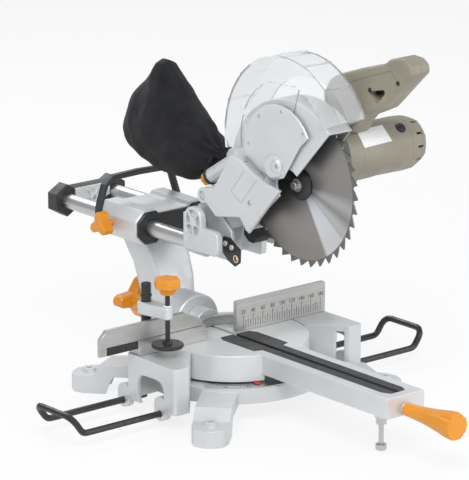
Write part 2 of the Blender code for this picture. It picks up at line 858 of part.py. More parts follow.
MATERIALS = {}
LOOKS = {
    "cast_silver": ((0.62, 0.63, 0.64), 0.42, 0.75),
    "table_silver": ((0.58, 0.59, 0.60), 0.38, 0.80),
    "fence_steel": ((0.55, 0.56, 0.58), 0.33, 0.85),
    "olive_plastic": ((0.27, 0.24, 0.18), 0.48, 0.0),
    "orange_plastic": ((0.85, 0.32, 0.03), 0.38, 0.0),
    "black_plastic": ((0.025, 0.025, 0.027), 0.45, 0.0),
    "grey_plastic": ((0.12, 0.12, 0.125), 0.50, 0.0),
    "white_plastic": ((0.80, 0.80, 0.78), 0.45, 0.0),
    "red_plastic": ((0.55, 0.03, 0.02), 0.45, 0.0),
    "rubber": ((0.04, 0.04, 0.042), 0.80, 0.0),
    "black_metal": ((0.03, 0.03, 0.032), 0.35, 0.4),
    "steel": ((0.60, 0.60, 0.60), 0.28, 1.0),
    "blade_steel": ((0.66, 0.66, 0.65), 0.25, 1.0),
    "copper": ((0.60, 0.27, 0.14), 0.35, 0.9),
    "clear_plastic": ((0.85, 0.87, 0.88), 0.10, 0.0),
    "cloth": ((0.03, 0.03, 0.033), 0.92, 0.0),
}


def material(name):
    if name not in MATERIALS:
        colour, roughness, metallic = LOOKS[name]
        made = bpy.data.materials.new(name)
        made.use_nodes = True
        shader = made.node_tree.nodes["Principled BSDF"]
        shader.inputs["Base Color"].default_value = (*colour, 1)
        shader.inputs["Roughness"].default_value = roughness
        shader.inputs["Metallic"].default_value = metallic
        if name == "clear_plastic":
            shader.inputs["Transmission Weight"].default_value = CLEAR_TRANSMISSION
        made.diffuse_color = (*colour, 1)
        MATERIALS[name] = made
    return MATERIALS[name]


def joint(name, place, parent=None):
    """An empty on a joint's axis. What turns or slides there is parented to it."""
    empty = bpy.data.objects.new(name, None)
    bpy.context.scene.collection.objects.link(empty)
    empty.parent = parent
    empty.location = place - (world_place(parent) if parent else Vector((0, 0, 0)))
    empty.empty_display_size = RING_WALL
    return empty


def world_place(obj):
    place = Vector((0, 0, 0))
    while obj:
        place += obj.location
        obj = obj.parent
    return place


def piece(name, mesh, look, parent):
    """A named object made from a mesh in world coordinates, with its origin at its parent's."""
    mesh = mesh.copy()
    mesh.transform(Matrix.Translation(-world_place(parent)))
    mesh.name = name
    mesh.materials.clear()
    mesh.materials.append(material(look))
    mesh.shade_smooth()
    mesh.set_sharp_from_angle(angle=math.radians(SMOOTH_ANGLE))
    obj = bpy.data.objects.new(name, mesh)
    bpy.context.scene.collection.objects.link(obj)
    obj.parent = parent
    return obj


# Base casting with its blocks and feet.


def block_outline(inset, corner):
    """The right-hand table block seen from above, its inner side following the turntable."""
    radius = MITRE_SWING_RADIUS + BLOCK_RUNNING_GAP + inset
    front, back, outer = BLOCK_FRONT_Y + inset, BLOCK_BACK_Y - inset, BLOCK_OUTER_X - inset
    first = math.degrees(math.asin(front * BLOCK_INNER_SHARE / radius))
    last = math.degrees(math.asin(back / radius))
    inner = arc((0, 0), radius, last, first, 6)
    ends = [(BLOCK_FRONT_X - inset, front), (outer, front), (outer, back), inner[0]]
    return rounded(ends, corner)[:-4] + inner


def block():
    """A hollow block: plate on top, walls all round, open below and arched on the outer side."""
    shape = prism(block_outline(0, BLOCK_CORNER), "Z", TABLE_HEIGHT - BLOCK_DROP, TABLE_HEIGHT)
    hollow = prism(
        block_outline(BLOCK_WALL, BLOCK_CORNER / 2),
        "Z",
        TABLE_HEIGHT - BLOCK_DROP - OVERRUN,
        TABLE_HEIGHT - BLOCK_TOP_WALL,
    )
    middle = (BLOCK_FRONT_Y + BLOCK_BACK_Y) / 2
    low = TABLE_HEIGHT - BLOCK_DROP - OVERRUN
    high = TABLE_HEIGHT + BLOCK_ARCH_RISE
    arch = rounded(
        rectangle((middle - BLOCK_ARCH_WIDTH / 2, low), (middle + BLOCK_ARCH_WIDTH / 2, high)),
        BLOCK_ARCH_WIDTH / 4,
        4,
    )
    window = prism(
        arch, "X", BLOCK_OUTER_X - BLOCK_WALL - OVERRUN, BLOCK_OUTER_X + OVERRUN
    )
    return shape, hollow, window


def wire_bores(side):
    """Holes through the block's outer and inner walls for one extension wire."""
    return [
        rod(
            "X",
            (y, TABLE_HEIGHT - WIRE_DROP),
            WIRE_RADIUS + FIT,
            side * (HUB_RADIUS + RING_WALL),
            side * (BLOCK_OUTER_X + OVERRUN),
            SMALL,
        )
        for y in (WIRE_FRONT_Y, WIRE_BACK_Y)
    ]


def wire_ears(side):
    """Lugs under the block's outer wall that the wire runs through."""
    ears = []
    for y in (WIRE_FRONT_Y, WIRE_BACK_Y):
        reach = WIRE_RADIUS + WIRE_EAR_DEPTH
        low = TABLE_HEIGHT - WIRE_DROP - WIRE_RADIUS - BLOCK_WALL
        outline = rounded(
            rectangle((y - reach, low), (y + reach, TABLE_HEIGHT - WIRE_DROP + 2 * reach)),
            reach - FIT,
            3,
        )
        outer = side * BLOCK_OUTER_X
        ears.append(prism(outline, "X", outer - side * FIT, outer - side * BLOCK_WALL * 2))
    return ears


def foot(x, y):
    """A leg from the ring out to a bench foot: sloped top, rounded nose, bored boss."""
    reach = math.hypot(x, y)
    nose = reach + FOOT_NOSE_LENGTH
    heel = nose - FOOT_SOLE_LENGTH
    side = [
        (FOOT_ROOT_RADIUS, TABLE_HEIGHT - FOOT_WEB_DROP),
        (heel, TABLE_HEIGHT - FOOT_WEB_DROP - RIB_THICKNESS),
        (reach - FOOT_BOSS_RADIUS, TABLE_HEIGHT - FOOT_BOSS_DROP - RIB_THICKNESS),
        (nose, FOOT_TOE_HEIGHT),
        (nose, 0),
        (heel, 0),
        (heel - FOOT_BOSS_RADIUS, TABLE_HEIGHT - FOOT_WEB_DROP - FOOT_WEB_HEIGHT),
        (FOOT_ROOT_RADIUS, TABLE_HEIGHT - FOOT_WEB_DROP - FOOT_WEB_HEIGHT),
    ]
    half = FOOT_WIDTH / 2
    shape = prism(side, "Y", -half, half)
    plan = rounded(
        [(FOOT_ROOT_RADIUS - OVERRUN, -half), (nose, -half), (nose, half), (FOOT_ROOT_RADIUS - OVERRUN, half)],
        half * FOOT_NOSE_SHARE,
        2,
    )
    outline = prism(plan, "Z", 0, TABLE_HEIGHT)
    boss = turned(
        (
            (0, 0),
            (FOOT_BOSS_RADIUS * FOOT_BOSS_FLARE_SHARE, 0),
            (FOOT_BOSS_RADIUS, TABLE_HEIGHT - FOOT_BOSS_DROP),
            (0, TABLE_HEIGHT - FOOT_BOSS_DROP),
        ),
        "Z",
        (reach, 0),
        SMALL,
    )
    pocket = prism(
        rounded(
            rectangle(
                (FOOT_ROOT_RADIUS + FOOT_POCKET_WALL, FOOT_POCKET_WALL - half),
                (nose - FOOT_POCKET_WALL, half - FOOT_POCKET_WALL),
            ),
            half * FOOT_POCKET_SHARE,
            2,
        ),
        "Z",
        -OVERRUN,
        FOOT_TOE_HEIGHT - FOOT_POCKET_WALL,
    )
    bore = rod("Z", (reach, 0), FOOT_HOLE_RADIUS, -OVERRUN, TABLE_HEIGHT, SMALL)
    shape = carved(shape, keep=[outline])
    shape = carved(shape, cut=[pocket], add=[boss])
    shape = carved(shape, cut=[bore])
    return moved(shape, Matrix.Rotation(math.atan2(y, x), 4, "Z"))


def base_casting():
    deck = TABLE_HEIGHT - DECK_DROP
    ring = turned(
        (
            (0, deck),
            (RING_RADIUS, deck),
            (RING_RADIUS, TABLE_HEIGHT - RING_DROP),
            (RING_RADIUS - RING_WALL, TABLE_HEIGHT - RING_DROP),
            (RING_RADIUS - RING_WALL, deck - DECK_THICKNESS),
            (0, deck - DECK_THICKNESS),
        ),
        "Z",
        (0, 0),
        FINE,
    )
    hub = rod("Z", (0, 0), HUB_RADIUS, TABLE_HEIGHT - HUB_DROP, deck - FIT, COARSE)
    rib = box(
        (HUB_RADIUS - RIB_THICKNESS, -RIB_THICKNESS / 2, TABLE_HEIGHT - RIB_DROP),
        (RING_RADIUS - FIT - RING_WALL / 2, RIB_THICKNESS / 2, deck - DECK_THICKNESS / 2),
    )
    ribs = turned_copies(rib, RIB_COUNT, "Z", Vector((0, 0, 0)), 360 / RIB_COUNT / 2)
    shape, hollow, window = block()
    blocks = []
    for turn in (lambda mesh: mesh.copy(), mirrored):
        blocks.append(carved(turn(shape), cut=[turn(hollow), turn(window)]))
    feet = [
        foot(side * x, y)
        for side in (1, -1)
        for x, y in ((FRONT_FOOT_X, FRONT_FOOT_Y), (REAR_FOOT_X, REAR_FOOT_Y))
    ]
    ears = wire_ears(1) + wire_ears(-1)
    whole = carved(ring, add=[hub, *ribs, *blocks, *feet, *ears])
    bore = rod(
        "Z", (0, 0), PIVOT_BOLT_RADIUS + FIT, TABLE_HEIGHT - HUB_DROP - OVERRUN, deck + OVERRUN, COARSE
    )
    swing = rod(
        "Z",
        (0, 0),
        MITRE_SWING_RADIUS + BLOCK_RUNNING_GAP * SWING_GAP_SHARE,
        deck,
        TABLE_HEIGHT + OVERRUN,
        FINE,
    )
    socket = rod(
        "Z",
        (CLAMP_X, CLAMP_Y),
        CLAMP_POST_RADIUS + FIT,
        TABLE_HEIGHT - CLAMP_SOCKET_DROP,
        TABLE_HEIGHT + OVERRUN,
        COARSE,
    )
    return carved(whole, cut=[bore, swing, socket, *wire_bores(1), *wire_bores(-1)])


def scale_plate():
    """The graduated ring sector that lies on the deck in front of the turntable."""
    middle = -90
    start, end = middle - SCALE_SWEEP / 2, middle + SCALE_SWEEP / 2
    outline = arc((0, 0), RING_RADIUS - RIB_THICKNESS / 4, start, end, FINE // 2)
    outline += arc((0, 0), SCALE_INNER_RADIUS, end, start, FINE // 2)
    low = TABLE_HEIGHT - DECK_DROP + FIT
    return prism(outline, "Z", low, low + SCALE_THICKNESS)


# Turntable with its arm, inserts, lock and levelling screw.


def insert_outline():
    """Right half of the insert plate, from the kerf slot outwards."""
    inner = KERF_WIDTH / 2
    return [
        (inner, INSERT_BACK_Y),
        (inner, INSERT_FRONT_Y),
        (INSERT_NARROW - INSERT_CHAMFER / 2, INSERT_FRONT_Y),
        (INSERT_NARROW, INSERT_FRONT_Y + INSERT_CHAMFER),
        (INSERT_NARROW, INSERT_STEP_Y),
        (INSERT_WIDE, INSERT_STEP_Y + INSERT_CHAMFER / 3),
        (INSERT_WIDE, INSERT_BACK_Y - INSERT_CHAMFER),
        (INSERT_WIDE - INSERT_CHAMFER / 2, INSERT_BACK_Y),
    ]


def insert_recess():
    right = insert_outline()[1:]
    left = [(-x, y) for x, y in reversed(right)]
    whole = anticlockwise([*right, *left])
    return shrunk(whole, -FIT)


def turntable():
    top, bottom = TABLE_HEIGHT, TABLE_HEIGHT - TABLE_SIDE_DROP
    disc = rod("Z", (0, 0), MITRE_SWING_RADIUS, bottom, top, FINE, TABLE_WALL / 6)
    arm = prism(
        rounded(
            [
                (-ARM_HALF_WIDTH, top),
                (-ARM_HALF_WIDTH, top - ARM_DROP),
                (ARM_HALF_WIDTH, top - ARM_DROP),
                (ARM_HALF_WIDTH, top),
            ],
            TABLE_WALL / 4,
            1,
        ),
        "Y",
        ARM_FRONT_Y,
        -SCALE_INNER_RADIUS,
    )
    boss = rod(
        "Y", (0, top), BEVEL_BOSS_RADIUS, BEVEL_BOSS_FRONT_Y, BEVEL_BOSS_BACK_Y, MEDIUM, RIB_THICKNESS / 4
    )
    pier = box(
        (-BEVEL_BOSS_RADIUS + RIB_THICKNESS / 4, BEVEL_BOSS_FRONT_Y + RIB_THICKNESS / 4, bottom + RIB_THICKNESS / 4),
        (BEVEL_BOSS_RADIUS - RIB_THICKNESS / 4, BEVEL_BOSS_BACK_Y - RIB_THICKNESS / 4, top),
    )
    room = rod("Z", (0, 0), MITRE_SWING_RADIUS - TABLE_WALL, bottom - OVERRUN, top - TABLE_PLATE, FINE)
    arm_room = box(
        (-ARM_HALF_WIDTH + ARM_WALL, ARM_FRONT_Y + ARM_WALL, bottom - OVERRUN),
        (ARM_HALF_WIDTH - ARM_WALL, -HUB_RADIUS, top - TABLE_PLATE),
    )
    notch = box(
        (-REAR_NOTCH_HALF_WIDTH, BEVEL_BOSS_BACK_Y, bottom - OVERRUN),
        (REAR_NOTCH_HALF_WIDTH, MITRE_SWING_RADIUS + OVERRUN, top + OVERRUN),
    )
    hub = rod("Z", (0, 0), HUB_RADIUS, top - DECK_DROP + FIT, top - TABLE_PLATE / 2, COARSE)
    rib = box(
        (HUB_RADIUS - RIB_THICKNESS, -RIB_THICKNESS / 2, bottom + ARM_WALL),
        (MITRE_SWING_RADIUS - TABLE_WALL / 2, RIB_THICKNESS / 2, top - TABLE_PLATE / 2),
    )
    ribs = turned_copies(rib, RIB_COUNT, "Z", Vector((0, 0, 0)))
    lock_boss = rod(
        "Y",
        (0, top - LOCK_ROD_DROP),
        LOCK_BOSS_RADIUS,
        ARM_FRONT_Y - RIB_THICKNESS / 4,
        ARM_FRONT_Y + ARM_WALL * 2,
        COARSE,
    )
    level_boss = rod(
        "Z", (0, LEVEL_Y), LEVEL_BOSS_RADIUS, top - LEVEL_BOSS_DROP, top - ARM_DROP + ARM_WALL, COARSE
    )
    bridge = box(
        (-ARM_HALF_WIDTH + ARM_WALL / 2, LEVEL_Y - LEVEL_BOSS_RADIUS, top - ARM_DROP),
        (ARM_HALF_WIDTH - ARM_WALL / 2, LEVEL_Y + LEVEL_BOSS_RADIUS, top - ARM_DROP + RIB_THICKNESS),
    )
    shape = carved(carved(disc, add=[arm]), cut=[room, arm_room])
    shape = carved(shape, add=[hub, *ribs, pier, boss, lock_boss, level_boss, bridge])
    recess = prism(insert_recess(), "Z", top - INSERT_THICKNESS - FIT, top + OVERRUN)
    slot = box(
        (-KERF_WIDTH / 2, SLOT_FRONT_Y, top - TABLE_PLATE - OVERRUN / 2),
        (KERF_WIDTH / 2, SLOT_BACK_Y, top + OVERRUN),
    )
    bolt_bore = rod(
        "Z", (0, 0), PIVOT_BOLT_RADIUS + FIT, bottom - OVERRUN * 2, top - TABLE_PLATE - FIT, COARSE
    )
    shaft_bore = rod(
        "Y",
        (0, top),
        BEVEL_SHAFT_RADIUS + FIT,
        BEVEL_BOSS_FRONT_Y + RIB_THICKNESS,
        BEVEL_BOSS_BACK_Y + OVERRUN,
        COARSE,
    )
    rod_bore = rod(
        "Y",
        (0, top - LOCK_ROD_DROP),
        LOCK_ROD_RADIUS + FIT,
        ARM_FRONT_Y - OVERRUN,
        -MITRE_SWING_RADIUS + TABLE_WALL * 2,
        SMALL,
    )
    level_bore = rod(
        "Z",
        (0, LEVEL_Y),
        LEVEL_SHANK_RADIUS + FIT,
        top - LEVEL_BOSS_DROP - OVERRUN,
        top - ARM_DROP + ARM_WALL + OVERRUN,
        SMALL,
    )
    return carved(shape, cut=[recess, slot, notch, bolt_bore, shaft_bore, rod_bore, level_bore])


def insert_half():
    outline = shrunk(anticlockwise(insert_outline()), FIT / 2)
    return prism(outline, "Z", TABLE_HEIGHT - INSERT_THICKNESS, TABLE_HEIGHT - FIT / 2)


def pointer():
    """A thin arrow screwed under the disc's edge, over the scale."""
    low = TABLE_HEIGHT - TABLE_SIDE_DROP - FIT - POINTER_THICKNESS
    half = POINTER_WIDTH / 2
    tip = SCALE_INNER_RADIUS + POINTER_LENGTH
    outline = [
        (SCALE_INNER_RADIUS, -half),
        (tip - half, -half),
        (tip, 0),
        (tip - half, half),
        (SCALE_INNER_RADIUS, half),
    ]
    turn = Matrix.Rotation(math.radians(-90 - POINTER_ANGLE), 4, "Z")
    return moved(prism(outline, "Z", low, low + POINTER_THICKNESS), turn)


def pivot_bolt():
    """Cap-head bolt from under the base hub up into the turntable."""
    seat = TABLE_HEIGHT - HUB_DROP - FIT
    return turned(
        (
            (0, seat - PIVOT_HEAD_HEIGHT),
            (PIVOT_HEAD_RADIUS, seat - PIVOT_HEAD_HEIGHT),
            (PIVOT_HEAD_RADIUS, seat),
            (PIVOT_BOLT_RADIUS, seat),
            (PIVOT_BOLT_RADIUS, TABLE_HEIGHT - TABLE_PLATE - 2 * FIT),
            (0, TABLE_HEIGHT - TABLE_PLATE - 2 * FIT),
        ),
        "Z",
        (0, 0),
        COARSE,
    )


def levelling_nut():
    """Lock nut under the levelling screw's boss."""
    top = TABLE_HEIGHT - LEVEL_BOSS_DROP - FIT
    nut = rod("Z", (0, LEVEL_Y), LEVEL_NUT_RADIUS, top - LEVEL_NUT_HEIGHT, top, 6)
    bore = rod(
        "Z",
        (0, LEVEL_Y),
        LEVEL_SHANK_RADIUS + FIT,
        top - LEVEL_NUT_HEIGHT - OVERRUN,
        top + OVERRUN,
        SMALL,
    )
    return carved(nut, cut=[bore])


def levelling_screw():
    """Shank and round foot pad of the arm's levelling screw."""
    shank = rod(
        "Z", (0, LEVEL_Y), LEVEL_SHANK_RADIUS, BENCH_GAP, TABLE_HEIGHT - ARM_DROP, SMALL
    )
    head = rod(
        "Z", (0, LEVEL_Y), LEVEL_HEAD_RADIUS, BENCH_GAP, BENCH_GAP + LEVEL_HEAD_HEIGHT, COARSE, BENCH_GAP
    )
    return carved(shank, add=[head])


def mitre_lock_handle():
    """Grip that flares towards its end: root collar, four flutes and a flat end face."""
    centre = (0, TABLE_HEIGHT - LOCK_ROD_DROP)
    length = LOCK_HANDLE_ROOT_Y - LOCK_HANDLE_END_Y
    flare = LOCK_HANDLE_END_RADIUS - LOCK_HANDLE_ROOT_RADIUS
    profile = [(0, LOCK_HANDLE_ROOT_Y)]
    for along, spread in LOCK_HANDLE_SHARES:
        profile.append(
            (LOCK_HANDLE_ROOT_RADIUS + flare * spread, LOCK_HANDLE_ROOT_Y - length * along)
        )
    profile.append((0, LOCK_HANDLE_END_Y))
    grip = turned(profile, "Y", centre, COARSE)
    reach = LOCK_HANDLE_END_RADIUS * LOCK_FLUTE_SHARE
    flutes = []
    for i in range(LOCK_FLUTES):
        turn = math.tau * (i + 1 / 2) / LOCK_FLUTES
        axis = (centre[0] + reach * math.cos(turn), centre[1] + reach * math.sin(turn))
        flutes.append(
            rod("Y", axis, LOCK_HANDLE_END_RADIUS / 2, LOCK_HANDLE_END_Y - OVERRUN, LOCK_HANDLE_ROOT_Y, SMALL)
        )
    bore = rod(
        "Y",
        centre,
        LOCK_ROD_RADIUS + FIT,
        LOCK_HANDLE_ROOT_Y - length / 3,
        LOCK_HANDLE_ROOT_Y + OVERRUN,
        SMALL,
    )
    return carved(grip, cut=[*flutes, bore])


def mitre_lock_rod():
    length = LOCK_HANDLE_ROOT_Y - LOCK_HANDLE_END_Y
    return rod(
        "Y",
        (0, TABLE_HEIGHT - LOCK_ROD_DROP),
        LOCK_ROD_RADIUS,
        LOCK_HANDLE_ROOT_Y - length / 3 + FIT,
        LOCK_ROD_BACK_Y,
        SMALL,
        LOCK_ROD_RADIUS / 4,
    )


# Fence.


def fence_casting():
    """Tall right face, low left face and the bridge that joins them behind the blade."""
    foot_z = TABLE_HEIGHT + FENCE_TABLE_GAP
    right = prism(
        rounded(
            rectangle(
                (FENCE_RIGHT_INNER_X, foot_z), (FENCE_RIGHT_X, TABLE_HEIGHT + FENCE_RIGHT_RISE)
            ),
            FENCE_THICKNESS / 4,
            2,
        ),
        "Y",
        0,
        FENCE_THICKNESS,
    )
    left = prism(
        rectangle((FENCE_LEFT_X, foot_z), (FENCE_LEFT_INNER_X, TABLE_HEIGHT + FENCE_LEFT_RISE)),
        "Y",
        0,
        FENCE_THICKNESS,
    )
    ring = arc((0, 0), FENCE_BRIDGE_RADIUS, 0, 180, 14)
    ring += arc((0, 0), FENCE_BRIDGE_RADIUS - FENCE_THICKNESS, 180, 0, 12)
    bridge = prism(ring, "Z", foot_z, TABLE_HEIGHT + FENCE_BRIDGE_RISE)
    flanges = []
    gussets = []
    for side in (1, -1):
        outer = FENCE_RIGHT_X if side > 0 else -FENCE_LEFT_X
        flanges.append(
            box(
                (min(side * FENCE_FLANGE_X, side * outer), FENCE_THICKNESS / 2, TABLE_HEIGHT + FIT),
                (max(side * FENCE_FLANGE_X, side * outer), FENCE_FLANGE_Y, TABLE_HEIGHT + FENCE_FLANGE_RISE),
            )
        )
        rise = FENCE_RIGHT_RISE if side > 0 else FENCE_LEFT_RISE
        for share in FENCE_GUSSET_SHARES if side > 0 else FENCE_GUSSET_SHARES[:1]:
            x = side * (FENCE_FLANGE_X + (outer - FENCE_FLANGE_X) * share)
            gussets.append(
                prism(
                    [
                        (FENCE_THICKNESS / 2, TABLE_HEIGHT + FENCE_FLANGE_RISE / 2),
                        (FENCE_FLANGE_Y - FIT, TABLE_HEIGHT + FENCE_FLANGE_RISE / 2),
                        (FENCE_FLANGE_Y - FIT, TABLE_HEIGHT + FENCE_FLANGE_RISE + FIT),
                        (FENCE_THICKNESS / 2, TABLE_HEIGHT + rise * FENCE_GUSSET_TOP_SHARE),
                    ],
                    "X",
                    x - FENCE_GUSSET_THICKNESS / 2,
                    x + FENCE_GUSSET_THICKNESS / 2,
                )
            )
    socket = turned(
        (
            (0, TABLE_HEIGHT + FIT),
            (CLAMP_SOCKET_RADIUS, TABLE_HEIGHT + FIT),
            (CLAMP_SOCKET_RADIUS, TABLE_HEIGHT + FENCE_LEFT_RISE * CLAMP_SOCKET_SHARE),
            (0, TABLE_HEIGHT + FENCE_LEFT_RISE * CLAMP_SOCKET_SHARE),
        ),
        "Z",
        (CLAMP_X, CLAMP_Y),
        COARSE,
    )
    shape = carved(right, add=[bridge, left, *flanges, *gussets, socket])
    bore = rod(
        "Z", (CLAMP_X, CLAMP_Y), CLAMP_POST_RADIUS + FIT, TABLE_HEIGHT - OVERRUN, TABLE_HEIGHT + RAIL_RISE, COARSE
    )
    return carved(shape, cut=[bore])


def sliding_fence():
    """Upper left fence: a plate that stands on the fixed one, with a lug at its outer end."""
    low = TABLE_HEIGHT + FENCE_LEFT_RISE + FIT
    top = TABLE_HEIGHT + SLIDE_FENCE_RISE
    outline = [
        (SLIDE_FENCE_LUG_X, TABLE_HEIGHT + SLIDE_FENCE_LUG_RISE),
        (SLIDE_FENCE_OUTER_X, TABLE_HEIGHT + SLIDE_FENCE_LUG_RISE),
        (SLIDE_FENCE_OUTER_X, low),
        (SLIDE_FENCE_INNER_X, low),
        (SLIDE_FENCE_INNER_X, TABLE_HEIGHT + SLIDE_FENCE_BEVEL_RISE),
        (SLIDE_FENCE_BEVEL_X, top),
        (SLIDE_FENCE_OUTER_X, top),
        (SLIDE_FENCE_LUG_X, top - (SLIDE_FENCE_OUTER_X - SLIDE_FENCE_LUG_X)),
    ]
    return prism(outline, "Y", 0, FENCE_THICKNESS, FENCE_THICKNESS / 10)


def slide_bar():
    """Guide bar under the outboard end of the sliding fence."""
    return box(
        (SLIDE_FENCE_OUTER_X + FIT, 0, TABLE_HEIGHT + SLIDE_BAR_RISE),
        (FENCE_LEFT_X - OVERRUN, SLIDE_BAR_DEPTH, TABLE_HEIGHT + FENCE_LEFT_RISE),
    )


# Hold-down clamp.


def clamp_post():
    """Round post with a retaining ring below its top."""
    low = TABLE_HEIGHT - CLAMP_SOCKET_DROP + FIT
    top = TABLE_HEIGHT + CLAMP_POST_RISE
    ring = TABLE_HEIGHT + CLAMP_RING_RISE
    edge = CLAMP_POST_RADIUS / 8
    return turned(
        (
            (0, low),
            (CLAMP_POST_RADIUS - edge, low),
            (CLAMP_POST_RADIUS, low + edge),
            (CLAMP_POST_RADIUS, ring),
            (CLAMP_RING_RADIUS, ring),
            (CLAMP_RING_RADIUS, ring + CLAMP_RING_HEIGHT),
            (CLAMP_POST_RADIUS, ring + CLAMP_RING_HEIGHT),
            (CLAMP_POST_RADIUS, top - edge),
            (CLAMP_POST_RADIUS - edge, top),
            (0, top),
        ),
        "Z",
        (CLAMP_X, CLAMP_Y),
        COARSE,
    )


def clamp_arm():
    """Arm that narrows from the post to the screw, seen from above as two bosses and their hull."""
    root, end = Vector((CLAMP_X, CLAMP_Y)), Vector((CLAMP_SCREW_X, CLAMP_SCREW_Y))
    along = end - root
    heading = math.degrees(math.atan2(along.y, along.x))
    lean = math.degrees(math.acos((CLAMP_ARM_ROOT_RADIUS - CLAMP_ARM_END_RADIUS) / along.length))
    outline = arc(tuple(root), CLAMP_ARM_ROOT_RADIUS, heading + lean, heading + 360 - lean, 9)
    outline += arc(tuple(end), CLAMP_ARM_END_RADIUS, heading - lean, heading + lean, 7)
    shape = prism(
        outline, "Z", TABLE_HEIGHT + CLAMP_ARM_LOW, TABLE_HEIGHT + CLAMP_ARM_HIGH, CLAMP_ARM_END_RADIUS / 6
    )
    bores = [
        rod("Z", tuple(place), radius + TURNING_FIT, TABLE_HEIGHT, TABLE_HEIGHT + CLAMP_POST_RISE, COARSE)
        for place, radius in ((root, CLAMP_POST_RADIUS), (end, CLAMP_BUSH_RADIUS))
    ]
    return carved(shape, cut=bores)


def clamp_bush():
    low, high = TABLE_HEIGHT + CLAMP_ARM_LOW, TABLE_HEIGHT + CLAMP_ARM_HIGH
    bore = CLAMP_SCREW_RADIUS + FIT / 2
    return tube_with_collar(
        (CLAMP_SCREW_X, CLAMP_SCREW_Y), CLAMP_BUSH_RADIUS, bore, low, high, CLAMP_BUSH_COLLAR
    )


def tube_with_collar(centre, outer, inner, low, high, collar):
    """A bush through a plate, with a collar just above it."""
    seat = high + FIT
    profile = (
        (outer, low),
        (outer, seat),
        (collar + FIT, seat),
        (collar + FIT, seat + CLAMP_BUSH_COLLAR_HEIGHT),
        (inner, seat + CLAMP_BUSH_COLLAR_HEIGHT),
        (inner, low),
    )
    rings = [[lifted(p, "Z", z) for p in circle(centre, radius, COARSE)] for radius, z in profile]
    return loft(rings, closed=True)


def clamp_screw():
    low = TABLE_HEIGHT + CLAMP_PAD_LOW + CLAMP_PAD_HEIGHT / 2
    return rod(
        "Z",
        (CLAMP_SCREW_X, CLAMP_SCREW_Y),
        CLAMP_SCREW_RADIUS,
        low,
        TABLE_HEIGHT + CLAMP_KNOB_LOW + CLAMP_KNOB_HEIGHT / 2,
        SMALL,
    )


def clamp_pad():
    """Round pressure pad with a raised hub that holds the screw's end."""
    low = TABLE_HEIGHT + CLAMP_PAD_LOW
    edge = CLAMP_PAD_HEIGHT / 4
    shape = turned(
        (
            (0, low),
            (CLAMP_PAD_RADIUS - edge, low),
            (CLAMP_PAD_RADIUS, low + edge),
            (CLAMP_PAD_RADIUS, low + CLAMP_PAD_HEIGHT - edge),
            (CLAMP_PAD_RADIUS - edge, low + CLAMP_PAD_HEIGHT),
            (CLAMP_PAD_HUB_RADIUS, low + CLAMP_PAD_HEIGHT),
            (CLAMP_PAD_HUB_RADIUS - edge, low + CLAMP_PAD_HUB_HEIGHT),
            (0, low + CLAMP_PAD_HUB_HEIGHT),
        ),
        "Z",
        (CLAMP_SCREW_X, CLAMP_SCREW_Y),
        MEDIUM,
    )
    bore = rod(
        "Z",
        (CLAMP_SCREW_X, CLAMP_SCREW_Y),
        CLAMP_SCREW_RADIUS + FIT,
        low + CLAMP_PAD_HEIGHT / 2 - FIT,
        low + CLAMP_KNOB_LOW,
        SMALL,
    )
    return carved(shape, cut=[bore])


def lobed(centre, radius, depth, lobes, steps):
    """A wavy outline for a hand knob."""
    points = []
    for i in range(lobes * steps):
        turn = math.tau * i / (lobes * steps)
        reach = radius - depth * (1 - math.cos(turn * lobes)) / 2
        points.append((centre[0] + reach * math.cos(turn), centre[1] + reach * math.sin(turn)))
    return points


def clamp_knob():
    """Six-lobed knob, dished in towards its top and narrowed to a skirt below."""
    centre = (CLAMP_SCREW_X, CLAMP_SCREW_Y)
    low = TABLE_HEIGHT + CLAMP_KNOB_LOW
    rings = []
    for spread, along, wave in CLAMP_KNOB_SHARES:
        depth = CLAMP_KNOB_RADIUS * CLAMP_KNOB_WAVE_SHARE * wave
        outline = lobed(centre, CLAMP_KNOB_RADIUS * spread, depth, CLAMP_KNOB_LOBES, 4)
        rings.append([lifted(point, "Z", low + CLAMP_KNOB_HEIGHT * along) for point in outline])
    bore = rod(
        "Z", centre, CLAMP_SCREW_RADIUS + FIT, low - OVERRUN, low + CLAMP_KNOB_HEIGHT / 2 + FIT, SMALL
    )
    return carved(loft(rings), cut=[bore])


# Extension wires.


def extension_wire(side):
    """A bar bent into a long U whose outer end turns up and outwards as a work support."""
    z = TABLE_HEIGHT - WIRE_DROP
    lean = math.radians(WIRE_UP_LEAN)
    out = WIRE_UP_LENGTH * math.sin(lean)
    up = WIRE_UP_LENGTH * math.cos(lean)
    corners = [
        Vector((side * WIRE_INNER_X, WIRE_FRONT_Y, z)),
        Vector((side * WIRE_OUTER_X, WIRE_FRONT_Y, z)),
        Vector((side * (WIRE_OUTER_X + out), WIRE_FRONT_Y, z + up)),
        Vector((side * (WIRE_OUTER_X + out), WIRE_BACK_Y, z + up)),
        Vector((side * WIRE_OUTER_X, WIRE_BACK_Y, z)),
        Vector((side * WIRE_INNER_X, WIRE_BACK_Y, z)),
    ]
    return drawn(bent(corners, WIRE_BEND, 3), WIRE_RADIUS)


# Column that tilts on the turntable, with the slide housing.


def rail_lobes(radius, start, end, sides=8):
    """Two faceted sleeves round the rails and the web between them."""
    centre_z = TABLE_HEIGHT + RAIL_RISE
    corner = radius / math.cos(math.pi / sides)
    lobes = []
    for side in (-1, 1):
        outline = arc((side * RAIL_SPREAD, centre_z), corner, 180 / sides, 360 + 180 / sides, sides)[:-1]
        lobes.append(prism(outline, "Y", start, end, HOUSING_CHAMFER))
    web = prism(
        rectangle(
            (-RAIL_SPREAD, centre_z - radius * HOUSING_WEB_SHARE),
            (RAIL_SPREAD, centre_z + radius * HOUSING_WEB_SHARE),
        ),
        "Y",
        start + HOUSING_CHAMFER / 2,
        end - HOUSING_CHAMFER / 2,
    )
    return carved(lobes[0], add=[lobes[1], web])


